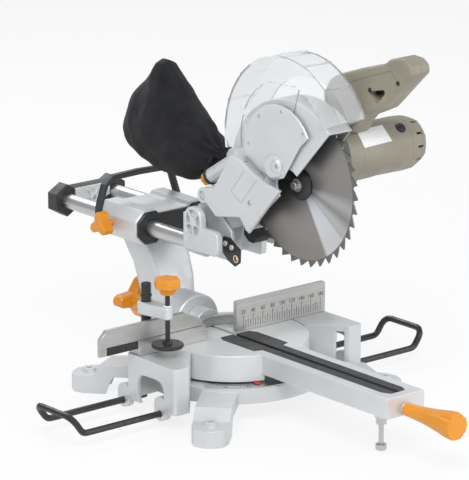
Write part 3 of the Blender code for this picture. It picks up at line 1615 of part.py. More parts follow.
def rail_bores(radius, start, end, steps=COARSE):
    centre_z = TABLE_HEIGHT + RAIL_RISE
    return [rod("Y", (side * RAIL_SPREAD, centre_z), radius, start, end, steps) for side in (-1, 1)]


def column():
    """Leaning column from the bevel hub up to the sleeves that carry the rails."""
    rings = []
    for rise, front, back, half in COLUMN_SECTIONS:
        outline = rounded(rectangle((-half, front), (half, back)), COLUMN_CORNER, 2)
        rings.append([lifted(point, "Z", TABLE_HEIGHT + rise) for point in outline])
    trunk = loft(rings)
    hub = rod(
        "Y",
        (0, TABLE_HEIGHT),
        BEVEL_HUB_RADIUS,
        BEVEL_BOSS_BACK_Y + FIT,
        BEVEL_HUB_BACK_Y,
        FINE,
        RIB_THICKNESS / 2,
    )
    nose = rod(
        "Y", (0, TABLE_HEIGHT), BEVEL_NOSE_RADIUS, BEVEL_HUB_BACK_Y - OVERRUN, BEVEL_NOSE_BACK_Y, MEDIUM
    )
    housing = rail_lobes(HOUSING_RADIUS, HOUSING_FRONT_Y, HOUSING_BACK_Y)
    lock_z = TABLE_HEIGHT + RAIL_RISE
    pad = rod(
        "X", (RAIL_LOCK_Y, lock_z), RAIL_LOCK_PAD_RADIUS, -HOUSING_OUTER_X, -RAIL_SPREAD - RAIL_DIAMETER / 2, SMALL
    )
    ribs = []
    for side in (-1, 1):
        x = side * (COLUMN_SECTIONS[2][3] - RIB_THICKNESS)
        ribs.append(
            prism(
                [
                    (COLUMN_SECTIONS[0][2] - OVERRUN, TABLE_HEIGHT - FIT),
                    (COLUMN_SECTIONS[0][2] + RIB_THICKNESS, TABLE_HEIGHT),
                    (COLUMN_SECTIONS[4][2] + RIB_THICKNESS, TABLE_HEIGHT + COLUMN_SECTIONS[4][0]),
                    (COLUMN_SECTIONS[4][2] - OVERRUN, TABLE_HEIGHT + COLUMN_SECTIONS[4][0]),
                ],
                "X",
                x,
                x - side * RIB_THICKNESS,
            )
        )
    shape = carved(trunk, add=[hub, nose, housing, pad, *ribs])
    shaft_bore = rod(
        "Y", (0, TABLE_HEIGHT), BEVEL_SHAFT_RADIUS + TURNING_FIT, 0, BEVEL_NOSE_BACK_Y + OVERRUN, COARSE
    )
    bush_seats = rail_bores(
        RAIL_DIAMETER / 2 + BUSH_WALL + FIT, HOUSING_FRONT_Y - OVERRUN, HOUSING_BACK_Y + OVERRUN, MEDIUM
    )
    lock_bore = rod(
        "X",
        (RAIL_LOCK_Y, lock_z),
        RAIL_LOCK_STUD_RADIUS + FIT,
        -HOUSING_OUTER_X - OVERRUN,
        -RAIL_SPREAD - RAIL_DIAMETER / 2,
        SMALL,
    )
    return carved(shape, cut=[shaft_bore, *bush_seats, lock_bore])


def front_cover():
    """Black plate on the front of the slide housing, cut for the rails."""
    shape = rail_lobes(COVER_RADIUS, HOUSING_FRONT_Y - COVER_THICKNESS, HOUSING_FRONT_Y - FIT)
    gap = RAIL_DIAMETER / 2 + RUNNING
    return carved(
        shape,
        cut=rail_bores(gap, HOUSING_FRONT_Y - COVER_THICKNESS - OVERRUN, HOUSING_FRONT_Y + OVERRUN),
    )


def rail_bush(side):
    centre = (side * RAIL_SPREAD, TABLE_HEIGHT + RAIL_RISE)
    inner = RAIL_DIAMETER / 2 + FIT / 2
    return tube(
        "Y", centre, RAIL_DIAMETER / 2 + BUSH_WALL, inner, HOUSING_FRONT_Y + FIT, HOUSING_BACK_Y - FIT
    )


def carry_handle():
    """Strap bent into a low arch, its feet flat against the housing's sides."""
    centre_z = TABLE_HEIGHT + RAIL_RISE
    inner = HOUSING_OUTER_X + FIT
    outer = inner + CARRY_STRAP
    crown = TABLE_HEIGHT + CARRY_RISE
    foot_z = centre_z - CARRY_FOOT_DROP
    half_outline = [
        (inner, foot_z),
        (outer, foot_z),
        (outer, centre_z + CARRY_KNEE),
        (outer - CARRY_LEAN, crown - CARRY_SHOULDER),
        (outer - CARRY_LEAN - CARRY_SHOULDER * CARRY_SHOULDER_SHARE, crown - CARRY_STRAP * CARRY_FALL_SHARE),
    ]
    top = [(0, crown)]
    inner_outline = [
        (0, crown - CARRY_STRAP * CARRY_CROWN_SHARE),
        (inner - CARRY_LEAN - CARRY_SHOULDER, crown - CARRY_STRAP * CARRY_SIDE_SHARE),
        (inner - CARRY_LEAN, crown - CARRY_SHOULDER - CARRY_STRAP / 2),
        (inner, centre_z + CARRY_KNEE * CARRY_KNEE_SHARE),
    ]
    right_outer = half_outline + top
    left_outer = [(-x, z) for x, z in reversed(half_outline)]
    right_inner = inner_outline
    left_inner = [(-x, z) for x, z in reversed(inner_outline)][:-1]
    outline = right_outer + left_outer + left_inner + right_inner
    return prism(
        outline, "Y", CARRY_Y - CARRY_WIDTH / 2, CARRY_Y + CARRY_WIDTH / 2, CARRY_STRAP / 5
    )


def three_lobe(centre, reach, lobe, start_angle, steps=6):
    """Outline of a three-armed hand nut: rounded ends joined by hollow sides."""
    points = []
    for i in range(LOBES):
        turn = start_angle + 360 / LOBES * i
        tip = (
            centre[0] + (reach - lobe) * math.cos(math.radians(turn)),
            centre[1] + (reach - lobe) * math.sin(math.radians(turn)),
        )
        points += arc(tip, lobe, turn - LOBE_ANGLE, turn + LOBE_ANGLE, steps)
        hollow = turn + 180 / LOBES
        points.append(
            (
                centre[0] + lobe * LOBE_HOLLOW_SHARE * math.cos(math.radians(hollow)),
                centre[1] + lobe * LOBE_HOLLOW_SHARE * math.sin(math.radians(hollow)),
            )
        )
    return points


def bevel_lock_handle():
    """Three-armed hand nut on the end of the bevel shaft, with its long neck."""
    centre = (0, TABLE_HEIGHT)
    head = prism(
        three_lobe(centre, BEVEL_LEVER_REACH, BEVEL_LEVER_LOBE, 180 / LOBES),
        "Y",
        BEVEL_LEVER_FRONT_Y,
        BEVEL_LEVER_BACK_Y,
        BEVEL_LEVER_LOBE / 4,
    )
    neck = turned(
        (
            (0, BEVEL_NOSE_BACK_Y + FIT),
            (BEVEL_NECK_RADIUS, BEVEL_NOSE_BACK_Y + FIT),
            (BEVEL_NECK_RADIUS * BEVEL_NECK_WAIST_SHARE, BEVEL_LEVER_FRONT_Y - BEVEL_LEVER_LOBE),
            (BEVEL_NECK_RADIUS * BEVEL_NECK_ROOT_SHARE, BEVEL_LEVER_FRONT_Y + BEVEL_LEVER_LOBE / 2),
            (0, BEVEL_LEVER_FRONT_Y + BEVEL_LEVER_LOBE / 2),
        ),
        "Y",
        centre,
        COARSE,
    )
    bore = rod(
        "Y", centre, BEVEL_SHAFT_RADIUS + TURNING_FIT, BEVEL_HUB_BACK_Y, BEVEL_SHAFT_BACK_Y + FIT, COARSE
    )
    return carved(neck, add=[head], cut=[bore])


def bevel_shaft():
    return rod(
        "Y",
        (0, TABLE_HEIGHT),
        BEVEL_SHAFT_RADIUS,
        BEVEL_BOSS_FRONT_Y + RIB_THICKNESS + FIT,
        BEVEL_SHAFT_BACK_Y,
        COARSE,
        BEVEL_SHAFT_RADIUS / 8,
    )


def rail_lock_knob():
    """Three-armed knob whose stud enters the side of the housing."""
    centre = (RAIL_LOCK_Y, TABLE_HEIGHT + RAIL_RISE)
    inner = -HOUSING_OUTER_X - RAIL_LOCK_STAND
    head = prism(
        three_lobe(centre, RAIL_LOCK_REACH, RAIL_LOCK_LOBE, 90),
        "X",
        inner,
        inner - RAIL_LOCK_LENGTH,
        RAIL_LOCK_LOBE / 4,
    )
    stud = rod(
        "X",
        centre,
        RAIL_LOCK_STUD_RADIUS,
        -RAIL_SPREAD - RAIL_DIAMETER / 2 - BUSH_WALL - 2 * FIT - RUNNING,
        inner - RAIL_LOCK_LOBE,
        SMALL,
    )
    return carved(head, add=[stud])


# Sliding carriage: rails, rear cap and hinge casting.


def rail(side):
    centre = (side * RAIL_SPREAD, TABLE_HEIGHT + RAIL_RISE)
    outer = RAIL_DIAMETER / 2
    return tube("Y", centre, outer, outer - RAIL_WALL, RAIL_FRONT_Y, RAIL_BACK_Y)


def rail_end_cap():
    """Cap across the rear ends of both rails, blind-bored for each."""
    shape = rail_lobes(CAP_RADIUS, CAP_FRONT_Y, CAP_BACK_Y, 6)
    centre_z = TABLE_HEIGHT + RAIL_RISE
    window = prism(
        rounded(
            [
                (-RAIL_SPREAD / 2, centre_z + CAP_RADIUS * HOUSING_WEB_SHARE - CAP_BAR),
                (-RAIL_SPREAD / 2, centre_z - CAP_RADIUS - OVERRUN),
                (RAIL_SPREAD / 2, centre_z - CAP_RADIUS - OVERRUN),
                (RAIL_SPREAD / 2, centre_z + CAP_RADIUS * HOUSING_WEB_SHARE - CAP_BAR),
            ],
            CAP_BAR / 2,
            2,
        ),
        "Y",
        CAP_FRONT_Y - OVERRUN,
        CAP_BACK_Y + OVERRUN,
    )
    return carved(
        shape, cut=[window, *rail_bores(RAIL_DIAMETER / 2 + FIT, CAP_FRONT_Y - OVERRUN, RAIL_BACK_Y + FIT, MEDIUM)]
    )


def rail_bracket():
    """Ribbed triangular bracket between the rails, in front of the cap."""
    centre_z = TABLE_HEIGHT + RAIL_RISE
    half = RAIL_SPREAD - RAIL_DIAMETER / 2 - FIT
    back = CAP_FRONT_Y - FIT
    top = centre_z + CAP_RADIUS * HOUSING_WEB_SHARE
    outline = [(-half, top), (-half, centre_z), (0, centre_z - BRACKET_DROP), (half, centre_z), (half, top)]
    plate = prism(outline, "Y", back, back - BRACKET_WALL)
    hub = rod("Y", (0, centre_z), BRACKET_HUB_RADIUS, back - BRACKET_DEPTH, back, COARSE)
    ribs = []
    for turn in BRACKET_RIB_ANGLES:
        reach = (half if turn in (0, 180) else top - centre_z) * BRACKET_RIB_SHARE
        spoke = box(
            (0, back - BRACKET_DEPTH * BRACKET_DEPTH_SHARE, centre_z - RIB_THICKNESS / 4),
            (reach, back - FIT, centre_z + RIB_THICKNESS / 4),
        )
        centre = Vector((0, 0, centre_z))
        spin = Matrix.Rotation(math.radians(-turn), 4, "Y")
        ribs.append(moved(spoke, Matrix.Translation(centre) @ spin @ Matrix.Translation(-centre)))
    bore = rod("Y", (0, centre_z), FOOT_HOLE_RADIUS, back - BRACKET_DEPTH - OVERRUN, back + OVERRUN, SMALL)
    return carved(plate, add=[hub, *ribs], cut=[bore])


def hinge_casting():
    """Front casting: rail sockets, side walls with a ribbed oval, and two ears for the hinge pin."""
    centre_z = TABLE_HEIGHT + RAIL_RISE
    pivot = (HEAD_PIVOT_Y, TABLE_HEIGHT + HEAD_PIVOT_RISE)
    low, high = TABLE_HEIGHT + HINGE_LOW, TABLE_HEIGHT + HINGE_HIGH
    side_low = TABLE_HEIGHT + HINGE_SIDE_LOW
    core_outline = rounded(
        [
            (HINGE_FRONT_Y, low),
            (HINGE_BACK_Y, low),
            (HINGE_BACK_Y, high - HINGE_CORNER / 2),
            (HINGE_BACK_Y - HINGE_CORNER / 2, high),
            (HINGE_FRONT_Y + HINGE_CORNER * 2, high - HINGE_CORNER),
            (HINGE_FRONT_Y, high - HINGE_CORNER * 3),
        ],
        HINGE_CORNER / 2,
        2,
    )
    core = prism(core_outline, "X", -HINGE_CORE_HALF, HINGE_CORE_HALF, RIB_THICKNESS / 3)
    sockets = [
        rod("Y", (side * RAIL_SPREAD, centre_z), HINGE_SOCKET_RADIUS, HINGE_SOCKET_FRONT_Y, HINGE_BACK_Y, MEDIUM)
        for side in (-1, 1)
    ]
    ear_outline = arc(pivot, HINGE_EAR_RADIUS, -HINGE_EAR_LEAN, 180 + HINGE_EAR_LEAN, 8)
    ear_outline += [
        (HEAD_PIVOT_Y - HINGE_EAR_RADIUS * HINGE_EAR_FRONT_SHARE, high - HINGE_CORNER),
        (HEAD_PIVOT_Y + HINGE_EAR_RADIUS * HINGE_EAR_BACK_SHARE, high - HINGE_CORNER),
    ]
    ears = [
        prism(ear_outline, "X", side * HINGE_EAR_INNER, side * HINGE_CORE_HALF, RIB_THICKNESS / 3)
        for side in (-1, 1)
    ]
    walls = []
    pockets = []
    oval_y, oval_z = HINGE_OVAL_Y, TABLE_HEIGHT + HINGE_OVAL_RISE
    half_y, half_z = HINGE_OVAL_WIDTH / 2, HINGE_OVAL_HEIGHT / 2
    oval = rounded(
        rectangle((oval_y - half_y, oval_z - half_z), (oval_y + half_y, oval_z + half_z)),
        half_y * HINGE_OVAL_SHARE,
        3,
    )
    block_outline_side = rounded(
        rectangle((HINGE_FRONT_Y, side_low), (oval_y, oval_z - HINGE_CORNER / 2)),
        HINGE_CORNER,
        2,
    )
    skirt = rounded(
        rectangle((HINGE_SOCKET_FRONT_Y, side_low), (HINGE_BACK_Y, oval_z)), HINGE_CORNER / 2, 2
    )
    rear = box(
        (-HINGE_OUTER_HALF + FIT, HINGE_BACK_Y - HINGE_REAR_WALL, centre_z),
        (HINGE_OUTER_HALF - FIT, HINGE_BACK_Y - FIT, high - HINGE_CORNER),
    )
    for side in (-1, 1):
        inner = side * HINGE_WALL_INNER
        outer = side * HINGE_OUTER_HALF
        walls.append(prism(oval, "X", inner, outer, RIB_THICKNESS / 4))
        walls.append(prism(block_outline_side, "X", inner, outer - side * FIT, RIB_THICKNESS / 3))
        walls.append(prism(skirt, "X", inner, outer - side * RIB_THICKNESS / 3))
        room = prism(
            shrunk(anticlockwise(oval), HINGE_OVAL_RIM), "X", outer - side * HINGE_OVAL_DEPTH, outer + side * OVERRUN
        )
        hub = rod("X", (oval_y, oval_z), HINGE_HUB_RADIUS, inner, outer + side * 2 * OVERRUN, SMALL)
        spoke = box(
            (min(inner, outer + side * 2 * OVERRUN), oval_y - HINGE_SPOKE / 2, oval_z),
            (max(inner, outer + side * 2 * OVERRUN), oval_y + HINGE_SPOKE / 2, oval_z + HINGE_OVAL_HEIGHT),
        )
        spokes = turned_copies(spoke, HINGE_SPOKES, "X", Vector((0, oval_y, oval_z)), 180 / HINGE_SPOKES)
        pockets.append(carved(room, cut=[hub, *spokes]))
    shape = carved(core, add=[*sockets, *ears, rear, *walls])
    pin_bore = rod(
        "X", pivot, PIN_RADIUS + FIT, -HINGE_OUTER_HALF, HINGE_OUTER_HALF, COARSE
    )
    rails = rail_bores(RAIL_DIAMETER / 2 + FIT, RAIL_FRONT_Y - FIT, HINGE_BACK_Y + OVERRUN, MEDIUM)
    lowered = lowered_arbor()
    hood_room = rod(
        "X",
        lowered,
        GUARD_RADIUS + HOOD_CLEARANCE,
        -CLEAR_LEFT_X - RUNNING,
        CLEAR_RIGHT_X + HOOD_CLEARANCE,
        FINE,
    )
    flap_room = box(
        (-FLAP_HALF - HOOD_CLEARANCE, HINGE_FRONT_Y - OVERRUN, low - OVERRUN),
        (FLAP_HALF + HOOD_CLEARANCE, HINGE_BACK_Y - HINGE_REAR_WALL * 2, low + FLAP_ROOM_RISE),
    )
    return cut_each(shape, [pin_bore, *rails, hood_room, flap_room], pockets)


def lowered_arbor():
    """Where the arbor stands in side view when the head is fully down."""
    turn = math.radians(HEAD_DROP_ANGLE)
    y, z = ARBOR_Y - HEAD_PIVOT_Y, ARBOR_RISE - HEAD_PIVOT_RISE
    return (
        HEAD_PIVOT_Y + y * math.cos(turn) - z * math.sin(turn),
        TABLE_HEIGHT + HEAD_PIVOT_RISE + y * math.sin(turn) + z * math.cos(turn),
    )


def cut_each(shape, cuts, pockets):
    """The shape less plain cuts, then less pockets whose rooms are already several bodies."""
    shape = carved(shape, cut=cuts)
    return carved(shape, cut=pockets)


def hinge_pin():
    half = FORK_OUTER_HALF - FIT
    return rod(
        "X", (HEAD_PIVOT_Y, TABLE_HEIGHT + HEAD_PIVOT_RISE), PIN_RADIUS, -half, half, COARSE, PIN_RADIUS / 8
    )


def return_spring():
    """Torsion spring round the hinge pin between the ears: one unbroken helix with a short tail."""
    centre = Vector((0, HEAD_PIVOT_Y, TABLE_HEIGHT + HEAD_PIVOT_RISE))
    steps = SPRING_TURNS * SPRING_POINTS
    path = []
    for i in range(steps + 1):
        turn = math.tau * i / SPRING_POINTS - math.pi / 2
        x = SPRING_LENGTH * (i / steps - 1 / 2)
        path.append(
            centre + Vector((x, SPRING_RADIUS * math.cos(turn), SPRING_RADIUS * math.sin(turn)))
        )
    pitch = SPRING_LENGTH / SPRING_TURNS
    print(f"return spring: least gap between turns {1000 * (pitch - 2 * SPRING_WIRE):.2f} mm")
    return drawn(path, SPRING_WIRE, 6)


def stop_bracket():
    """Black plate on the hinge casting's left side, with two bolts and a stop hole."""
    inner = -HINGE_CORE_HALF - FIT
    outer = inner - STOP_PLATE
    origin = (STOP_BACK_Y - STOP_WIDTH, TABLE_HEIGHT + HINGE_LOW)
    outline = rounded(placed(STOP_SHARES, origin, STOP_WIDTH, STOP_WIDTH), STOP_PLATE / 2, 2)
    plate = prism(outline, "X", outer, inner, STOP_PLATE / 5)
    centres = placed(STOP_BOLT_SHARES, origin, STOP_WIDTH, STOP_WIDTH)
    heads = [
        rod("X", centre, STOP_BOLT_RADIUS, outer - STOP_PLATE / 2, inner - STOP_PLATE / 2, 6)
        for centre in centres
    ]
    hole_centre = placed([STOP_HOLE_SHARE], origin, STOP_WIDTH, STOP_WIDTH)[0]
    hole = rod("X", hole_centre, STOP_HOLE_RADIUS, outer - OVERRUN, inner + OVERRUN, SMALL)
    return carved(plate, add=heads, cut=[hole])


# Head: guard casting, gear case, motor, handle, dust port and bag.

ARBOR = (ARBOR_Y, TABLE_HEIGHT + ARBOR_RISE)
MOTOR = (ARBOR_Y + MOTOR_OFFSET_Y, TABLE_HEIGHT + ARBOR_RISE + MOTOR_OFFSET_Z)
PIVOT = (HEAD_PIVOT_Y, TABLE_HEIGHT + HEAD_PIVOT_RISE)
GUARD_PIVOT = (ARBOR_Y + GUARD_PIVOT_OFFSET_Y, TABLE_HEIGHT + ARBOR_RISE + GUARD_PIVOT_OFFSET_Z)


def polar(centre, radius, angle):
    turn = math.radians(angle)
    return (centre[0] + radius * math.cos(turn), centre[1] + radius * math.sin(turn))


def fork_outline(shares):
    """Side of the head's arm, from the hinge knuckle towards the arbor."""
    return arc(PIVOT, KNUCKLE_RADIUS, KNUCKLE_START, 90, 8) + placed(shares, PIVOT, ARM_REACH, ARM_REACH)


def side_place(x, shares):
    """A point beside the arm, its place given as shares of the arm's reach from the hinge pin."""
    return Vector((x, PIVOT[0] + shares[0] * ARM_REACH, PIVOT[1] + shares[1] * ARM_REACH))


def slanted(x, start_shares, end_shares, radius, sides=COARSE):
    """A bar in a plane of constant X between two places beside the arm."""
    return drawn([side_place(x, start_shares), side_place(x, end_shares)], radius, sides)


def depth_direction():
    end = side_place(DEPTH_X, DEPTH_BOSS_END_SHARES)
    return (end - side_place(DEPTH_X, DEPTH_BOSS_ROOT_SHARES)).normalized()


def rod_along(start, end, radius, sides=COARSE):
    """A bar on the depth stop's axis, its ends counted from the boss's end face."""
    face = side_place(DEPTH_X, DEPTH_BOSS_END_SHARES)
    return drawn([face + depth_direction() * start, face + depth_direction() * end], radius, sides)


def upper_guard():
    """Blade housing, open below, joined to the arm's fork and to the gear case beside the blade."""
    left, right = -GUARD_LEFT_X, GUARD_RIGHT_X
    outline = arc(ARBOR, GUARD_RADIUS, GUARD_REAR_ANGLE, GUARD_FRONT_ANGLE, 18)
    outline += arc(ARBOR, ARBOR_WINDOW_RADIUS, GUARD_FRONT_ANGLE, GUARD_REAR_ANGLE, 8)
    hood = prism(outline, "X", left, right, GUARD_WALL / 3)
    fork = prism(fork_outline(FORK_SHARES), "X", -FORK_OUTER_HALF, -FORK_INNER_HALF, FORK_CHAMFER)
    fork_right = prism(
        fork_outline(FORK_RIGHT_SHARES), "X", FORK_INNER_HALF, FORK_OUTER_HALF, FORK_CHAMFER
    )
    bosses = []
    for side in (-1, 1):
        inner, outer = side * (HINGE_CORE_HALF + FIT), side * (FORK_OUTER_HALF - FORK_CHAMFER)
        bosses.append(rod("X", PIVOT, KNUCKLE_RADIUS - FIT, inner, outer, MEDIUM))
    inset = FORK_OUTER_HALF - FORK_CHAMFER
    bridge = prism(placed(ARM_BRIDGE_SHARES, PIVOT, ARM_REACH, ARM_REACH), "X", -inset, inset)
    links = []
    for start, end in (
        (-FORK_INNER_HALF - FIT, left + GUARD_WALL / 2),
        (right - GUARD_WALL / 2, FORK_INNER_HALF + FIT),
    ):
        links.append(prism(placed(ARM_LINK_SHARES, PIVOT, ARM_REACH, ARM_REACH), "X", start, end))
    drum = rod("X", ARBOR, GEAR_CASE_RADIUS, right - GUARD_WALL / 2, GEAR_CASE_X, FINE)
    case = prism(gear_case_outline(0), "X", GEAR_WING_X, GEAR_CASE_X)
    neck = slanted(NECK_X, NECK_ROOT_SHARES, NECK_END_SHARES, NECK_RADIUS)
    stop_boss = slanted(DEPTH_X, DEPTH_BOSS_ROOT_SHARES, DEPTH_BOSS_END_SHARES, DEPTH_BOSS_RADIUS)
    shape = carved(hood, add=[fork, fork_right, bridge, *links, *bosses, drum, case, neck, stop_boss])
    blade_room = rod(
        "X", ARBOR, BLADE_RADIUS + BLADE_ROOM, left + GUARD_WALL, right - GUARD_WALL, FINE
    )
    neck_bore = slanted(NECK_X, NECK_INNER_SHARES, NECK_OUT_SHARES, NECK_RADIUS - NECK_WALL)
    pin_bore = rod(
        "X", PIVOT, PIN_RADIUS + FIT, -FORK_OUTER_HALF - OVERRUN, FORK_OUTER_HALF + OVERRUN, COARSE
    )
    gear_room = prism(
        gear_case_outline(GEAR_CASE_WALL), "X", right + GEAR_WEB, GEAR_CASE_X + OVERRUN
    )
    arbor_bore = rod(
        "X", ARBOR, SPINDLE_RADIUS + RUNNING / 2, right - GUARD_WALL - OVERRUN, GEAR_CASE_X, COARSE
    )
    screw_bore = rod_along(-DEPTH_SCREW_SUNK - FIT, OVERRUN, DEPTH_SCREW_RADIUS + FIT, SMALL)
    return carved(shape, cut=[blade_room, neck_bore, pin_bore, gear_room, arbor_bore, screw_bore])


def gear_case_outline(inset):
    """Round case over the spindle gear, widened to the motor's flange above it."""
    points = []
    heading = math.degrees(math.atan2(MOTOR_OFFSET_Z, MOTOR_OFFSET_Y))
    span = math.hypot(MOTOR_OFFSET_Y, MOTOR_OFFSET_Z)
    small, large = GEAR_CASE_RADIUS - inset, MOTOR_RADIUS - inset
    lean = math.degrees(math.acos((small - large) / span))
    points += arc(ARBOR, small, heading + lean, heading + 360 - lean, 12)
    points += arc(MOTOR, large, heading - lean, heading + lean, 14)
    return points


def side_cover():
    """Plate over the guard's left side with a raised round hub, standing on its pivot boss."""
    outer, inner = -COVER_OUTER_X, -COVER_INNER_X
    centre = (ARBOR_Y + COVER_OFFSET_Y, TABLE_HEIGHT + ARBOR_RISE + COVER_OFFSET_Z)
    outline = arc(centre, COVER_ARC_RADIUS, COVER_ARC_START, COVER_ARC_END, 12)
    outline += placed(COVER_SHARES, ARBOR, BLADE_RADIUS, BLADE_RADIUS)
    plate = prism(outline, "X", outer, inner, (COVER_OUTER_X - COVER_INNER_X) / 3)
    hub = turned(
        (
            (0, outer - COVER_HUB_HEIGHT),
            (COVER_HUB_RADIUS * COVER_HUB_SHARE, outer - COVER_HUB_HEIGHT),
            (COVER_HUB_RADIUS, outer - COVER_HUB_HEIGHT / 2),
            (COVER_HUB_RADIUS, outer + FIT),
            (0, outer + FIT),
        ),
        "X",
        GUARD_PIVOT,
        MEDIUM,
    )
    boss = rod("X", GUARD_PIVOT, GUARD_BOSS_RADIUS, inner - FIT, -GUARD_LEFT_X - FIT, COARSE)
    return carved(plate, add=[hub, boss])


def lower_guard():
    """Clear guard, shown swung back: rim and two side walls round the blade, on a pivot arm."""
    centre = (ARBOR[0] + GUARD_OPEN_OFFSET_Y, ARBOR[1] + GUARD_OPEN_OFFSET_Z)
    outer, inner = GUARD_RIM_RADIUS, GUARD_RIM_RADIUS - CLEAR_WALL
    low, high = GUARD_OPEN_START, GUARD_OPEN_END
    left, right = -CLEAR_LEFT_X, CLEAR_RIGHT_X
    sector = arc(centre, outer, low, high, 20)
    sector += arc(centre, outer - CLEAR_DEPTH, high, low, 16)
    block = prism(sector, "X", left, right)
    room = arc(centre, inner, low - CLEAR_ROOM_ANGLE, high + CLEAR_ROOM_ANGLE, 23)
    room += arc(centre, outer - CLEAR_DEPTH - OVERRUN, high + CLEAR_ROOM_ANGLE, low - CLEAR_ROOM_ANGLE, 17)
    hollow = prism(room, "X", left + CLEAR_WALL, right - CLEAR_WALL)
    shape = carved(block, cut=[hollow])
    arm = prism(
        arc(GUARD_PIVOT, CLEAR_HUB_RADIUS, CLEAR_HUB_START, CLEAR_HUB_END, 10)
        + [
            polar(centre, outer - CLEAR_DEPTH + CLEAR_WALL, CLEAR_ARM_START),
            polar(centre, outer - CLEAR_DEPTH + CLEAR_WALL, (CLEAR_ARM_START + CLEAR_ARM_END) / 2),
            polar(centre, outer - CLEAR_DEPTH + CLEAR_WALL, CLEAR_ARM_END),
        ],
        "X",
        left,
        left + CLEAR_WALL,
    )
    hole = rod("X", GUARD_PIVOT, GUARD_BOSS_RADIUS + TURNING_FIT, left - OVERRUN, left + CLEAR_WALL + OVERRUN, COARSE)
    roller = rod(
        "X", polar(centre, outer - CLEAR_DEPTH / 3, high - CLEAR_ROLLER_ANGLE), CLEAR_BOSS_RADIUS, right - CLEAR_WALL / 2, right + CLEAR_BOSS_RADIUS, SMALL
    )
    ribs = []
    for i in range(CLEAR_RIBS):
        angle = CLEAR_RIB_START + (CLEAR_RIB_END - CLEAR_RIB_START) * i / (CLEAR_RIBS - 1)
        ribs.append(
            prism(
                [
                    polar(centre, outer - CLEAR_WALL / 2, angle - CLEAR_RIB_ANGLE),
                    polar(centre, outer + CLEAR_WALL * CLEAR_RIB_SHARE, angle - CLEAR_RIB_ANGLE),
                    polar(centre, outer + CLEAR_WALL * CLEAR_RIB_SHARE, angle + CLEAR_RIB_ANGLE),
                    polar(centre, outer - CLEAR_WALL / 2, angle + CLEAR_RIB_ANGLE),
                ],
                "X",
                left + FIT,
                right - FIT,
            )
        )
    shape = carved(shape, add=[arm, roller, *ribs])
    return carved(shape, cut=[hole])


# Blade, spindle and motor.


def saw_blade():
    """Toothed disc: each tooth has a hooked face, a relieved back and a rounded gullet."""
    points = []
    pitch = 360 / TOOTH_COUNT
    for i in range(TOOTH_COUNT):
        for share, depth in TOOTH_SHARES:
            points.append(polar(ARBOR, BLADE_RADIUS - TOOTH_DEPTH * depth, (i + share) * pitch))
    disc = prism(points, "X", -BLADE_THICKNESS / 2, BLADE_THICKNESS / 2)
    bore = rod("X", ARBOR, ARBOR_BOLT_RADIUS + SPINDLE_STEP + FIT / 2, -OVERRUN, OVERRUN, COARSE)
    return carved(disc, cut=[bore])


def gear_outline(centre, teeth, module, phase):
    """Involute teeth, slightly thinned for backlash."""
    pitch_radius = teeth * module / 2
    base = pitch_radius * math.cos(math.radians(PRESSURE_ANGLE))
    root = pitch_radius - module * GEAR_DEDENDUM
    tip = pitch_radius + module * GEAR_ADDENDUM

    def involute(radius):
        pressure = math.acos(min(1, base / radius))
        return math.tan(pressure) - pressure

    half = math.pi / (2 * teeth) + involute(pitch_radius) - GEAR_BACKLASH / (2 * pitch_radius)
    flank = (max(base, root), tip)
    foot = [(root, half)] if root < base else []
    points = []
    for i in range(teeth):
        middle = math.radians(phase) + math.tau * i / teeth
        rising = foot + [(radius, half - involute(radius)) for radius in flank]
        for radius, spread in rising:
            points.append(polar(centre, radius, math.degrees(middle - spread)))
        for radius, spread in reversed(rising):
            points.append(polar(centre, radius, math.degrees(middle + spread)))
    return points


def spindle():
    """Stepped spindle: gear end, bearing shoulder, inner flange and the seat for the blade."""
    blade_left = -BLADE_THICKNESS / 2
    inner_face = BLADE_THICKNESS / 2 + FIT
    gear_x = GUARD_RIGHT_X + GEAR_WEB + RUNNING
    step = ARBOR_BOLT_RADIUS + SPINDLE_STEP
    body = turned(
        (
            (0, blade_left + FIT),
            (step, blade_left + FIT),
            (step, inner_face),
            (FLANGE_RADIUS, inner_face),
            (FLANGE_RADIUS, inner_face + FLANGE_LIP),
            (FLANGE_RADIUS - FLANGE_LIP, inner_face + FLANGE_THICKNESS),
            (SPINDLE_RADIUS, inner_face + FLANGE_THICKNESS),
            (SPINDLE_RADIUS, GEAR_CASE_X - GEAR_CASE_WALL),
            (0, GEAR_CASE_X - GEAR_CASE_WALL),
        ),
        "X",
        ARBOR,
        COARSE,
    )
    gear = prism(
        gear_outline(ARBOR, SPINDLE_TEETH, gear_module(), 0), "X", gear_x, gear_x + GEAR_WIDTH
    )
    bore = rod("X", ARBOR, ARBOR_BOLT_RADIUS + FIT, blade_left - OVERRUN, inner_face + FLANGE_THICKNESS * 3, SMALL)
    return carved(body, add=[gear], cut=[bore])


def gear_module():
    return 2 * math.hypot(MOTOR_OFFSET_Y, MOTOR_OFFSET_Z) / (SPINDLE_TEETH + PINION_TEETH)


def outer_flange():
    """Dished clamping flange on the blade's left side."""
    face = -BLADE_THICKNESS / 2 - FIT
    inner = ARBOR_BOLT_RADIUS + FIT
    profile = (
        (inner, face),
        (FLANGE_RADIUS, face),
        (FLANGE_RADIUS, face - FLANGE_LIP),
        (FLANGE_RADIUS * FLANGE_EDGE_SHARE, face - FLANGE_THICKNESS * FLANGE_EDGE_SHARE),
        (FLANGE_RADIUS * FLANGE_FACE_SHARE, face - FLANGE_THICKNESS),
        (inner, face - FLANGE_THICKNESS),
    )
    rings = [[lifted(p, "X", x) for p in circle(ARBOR, radius, MEDIUM)] for radius, x in profile]
    return loft(rings, closed=True)


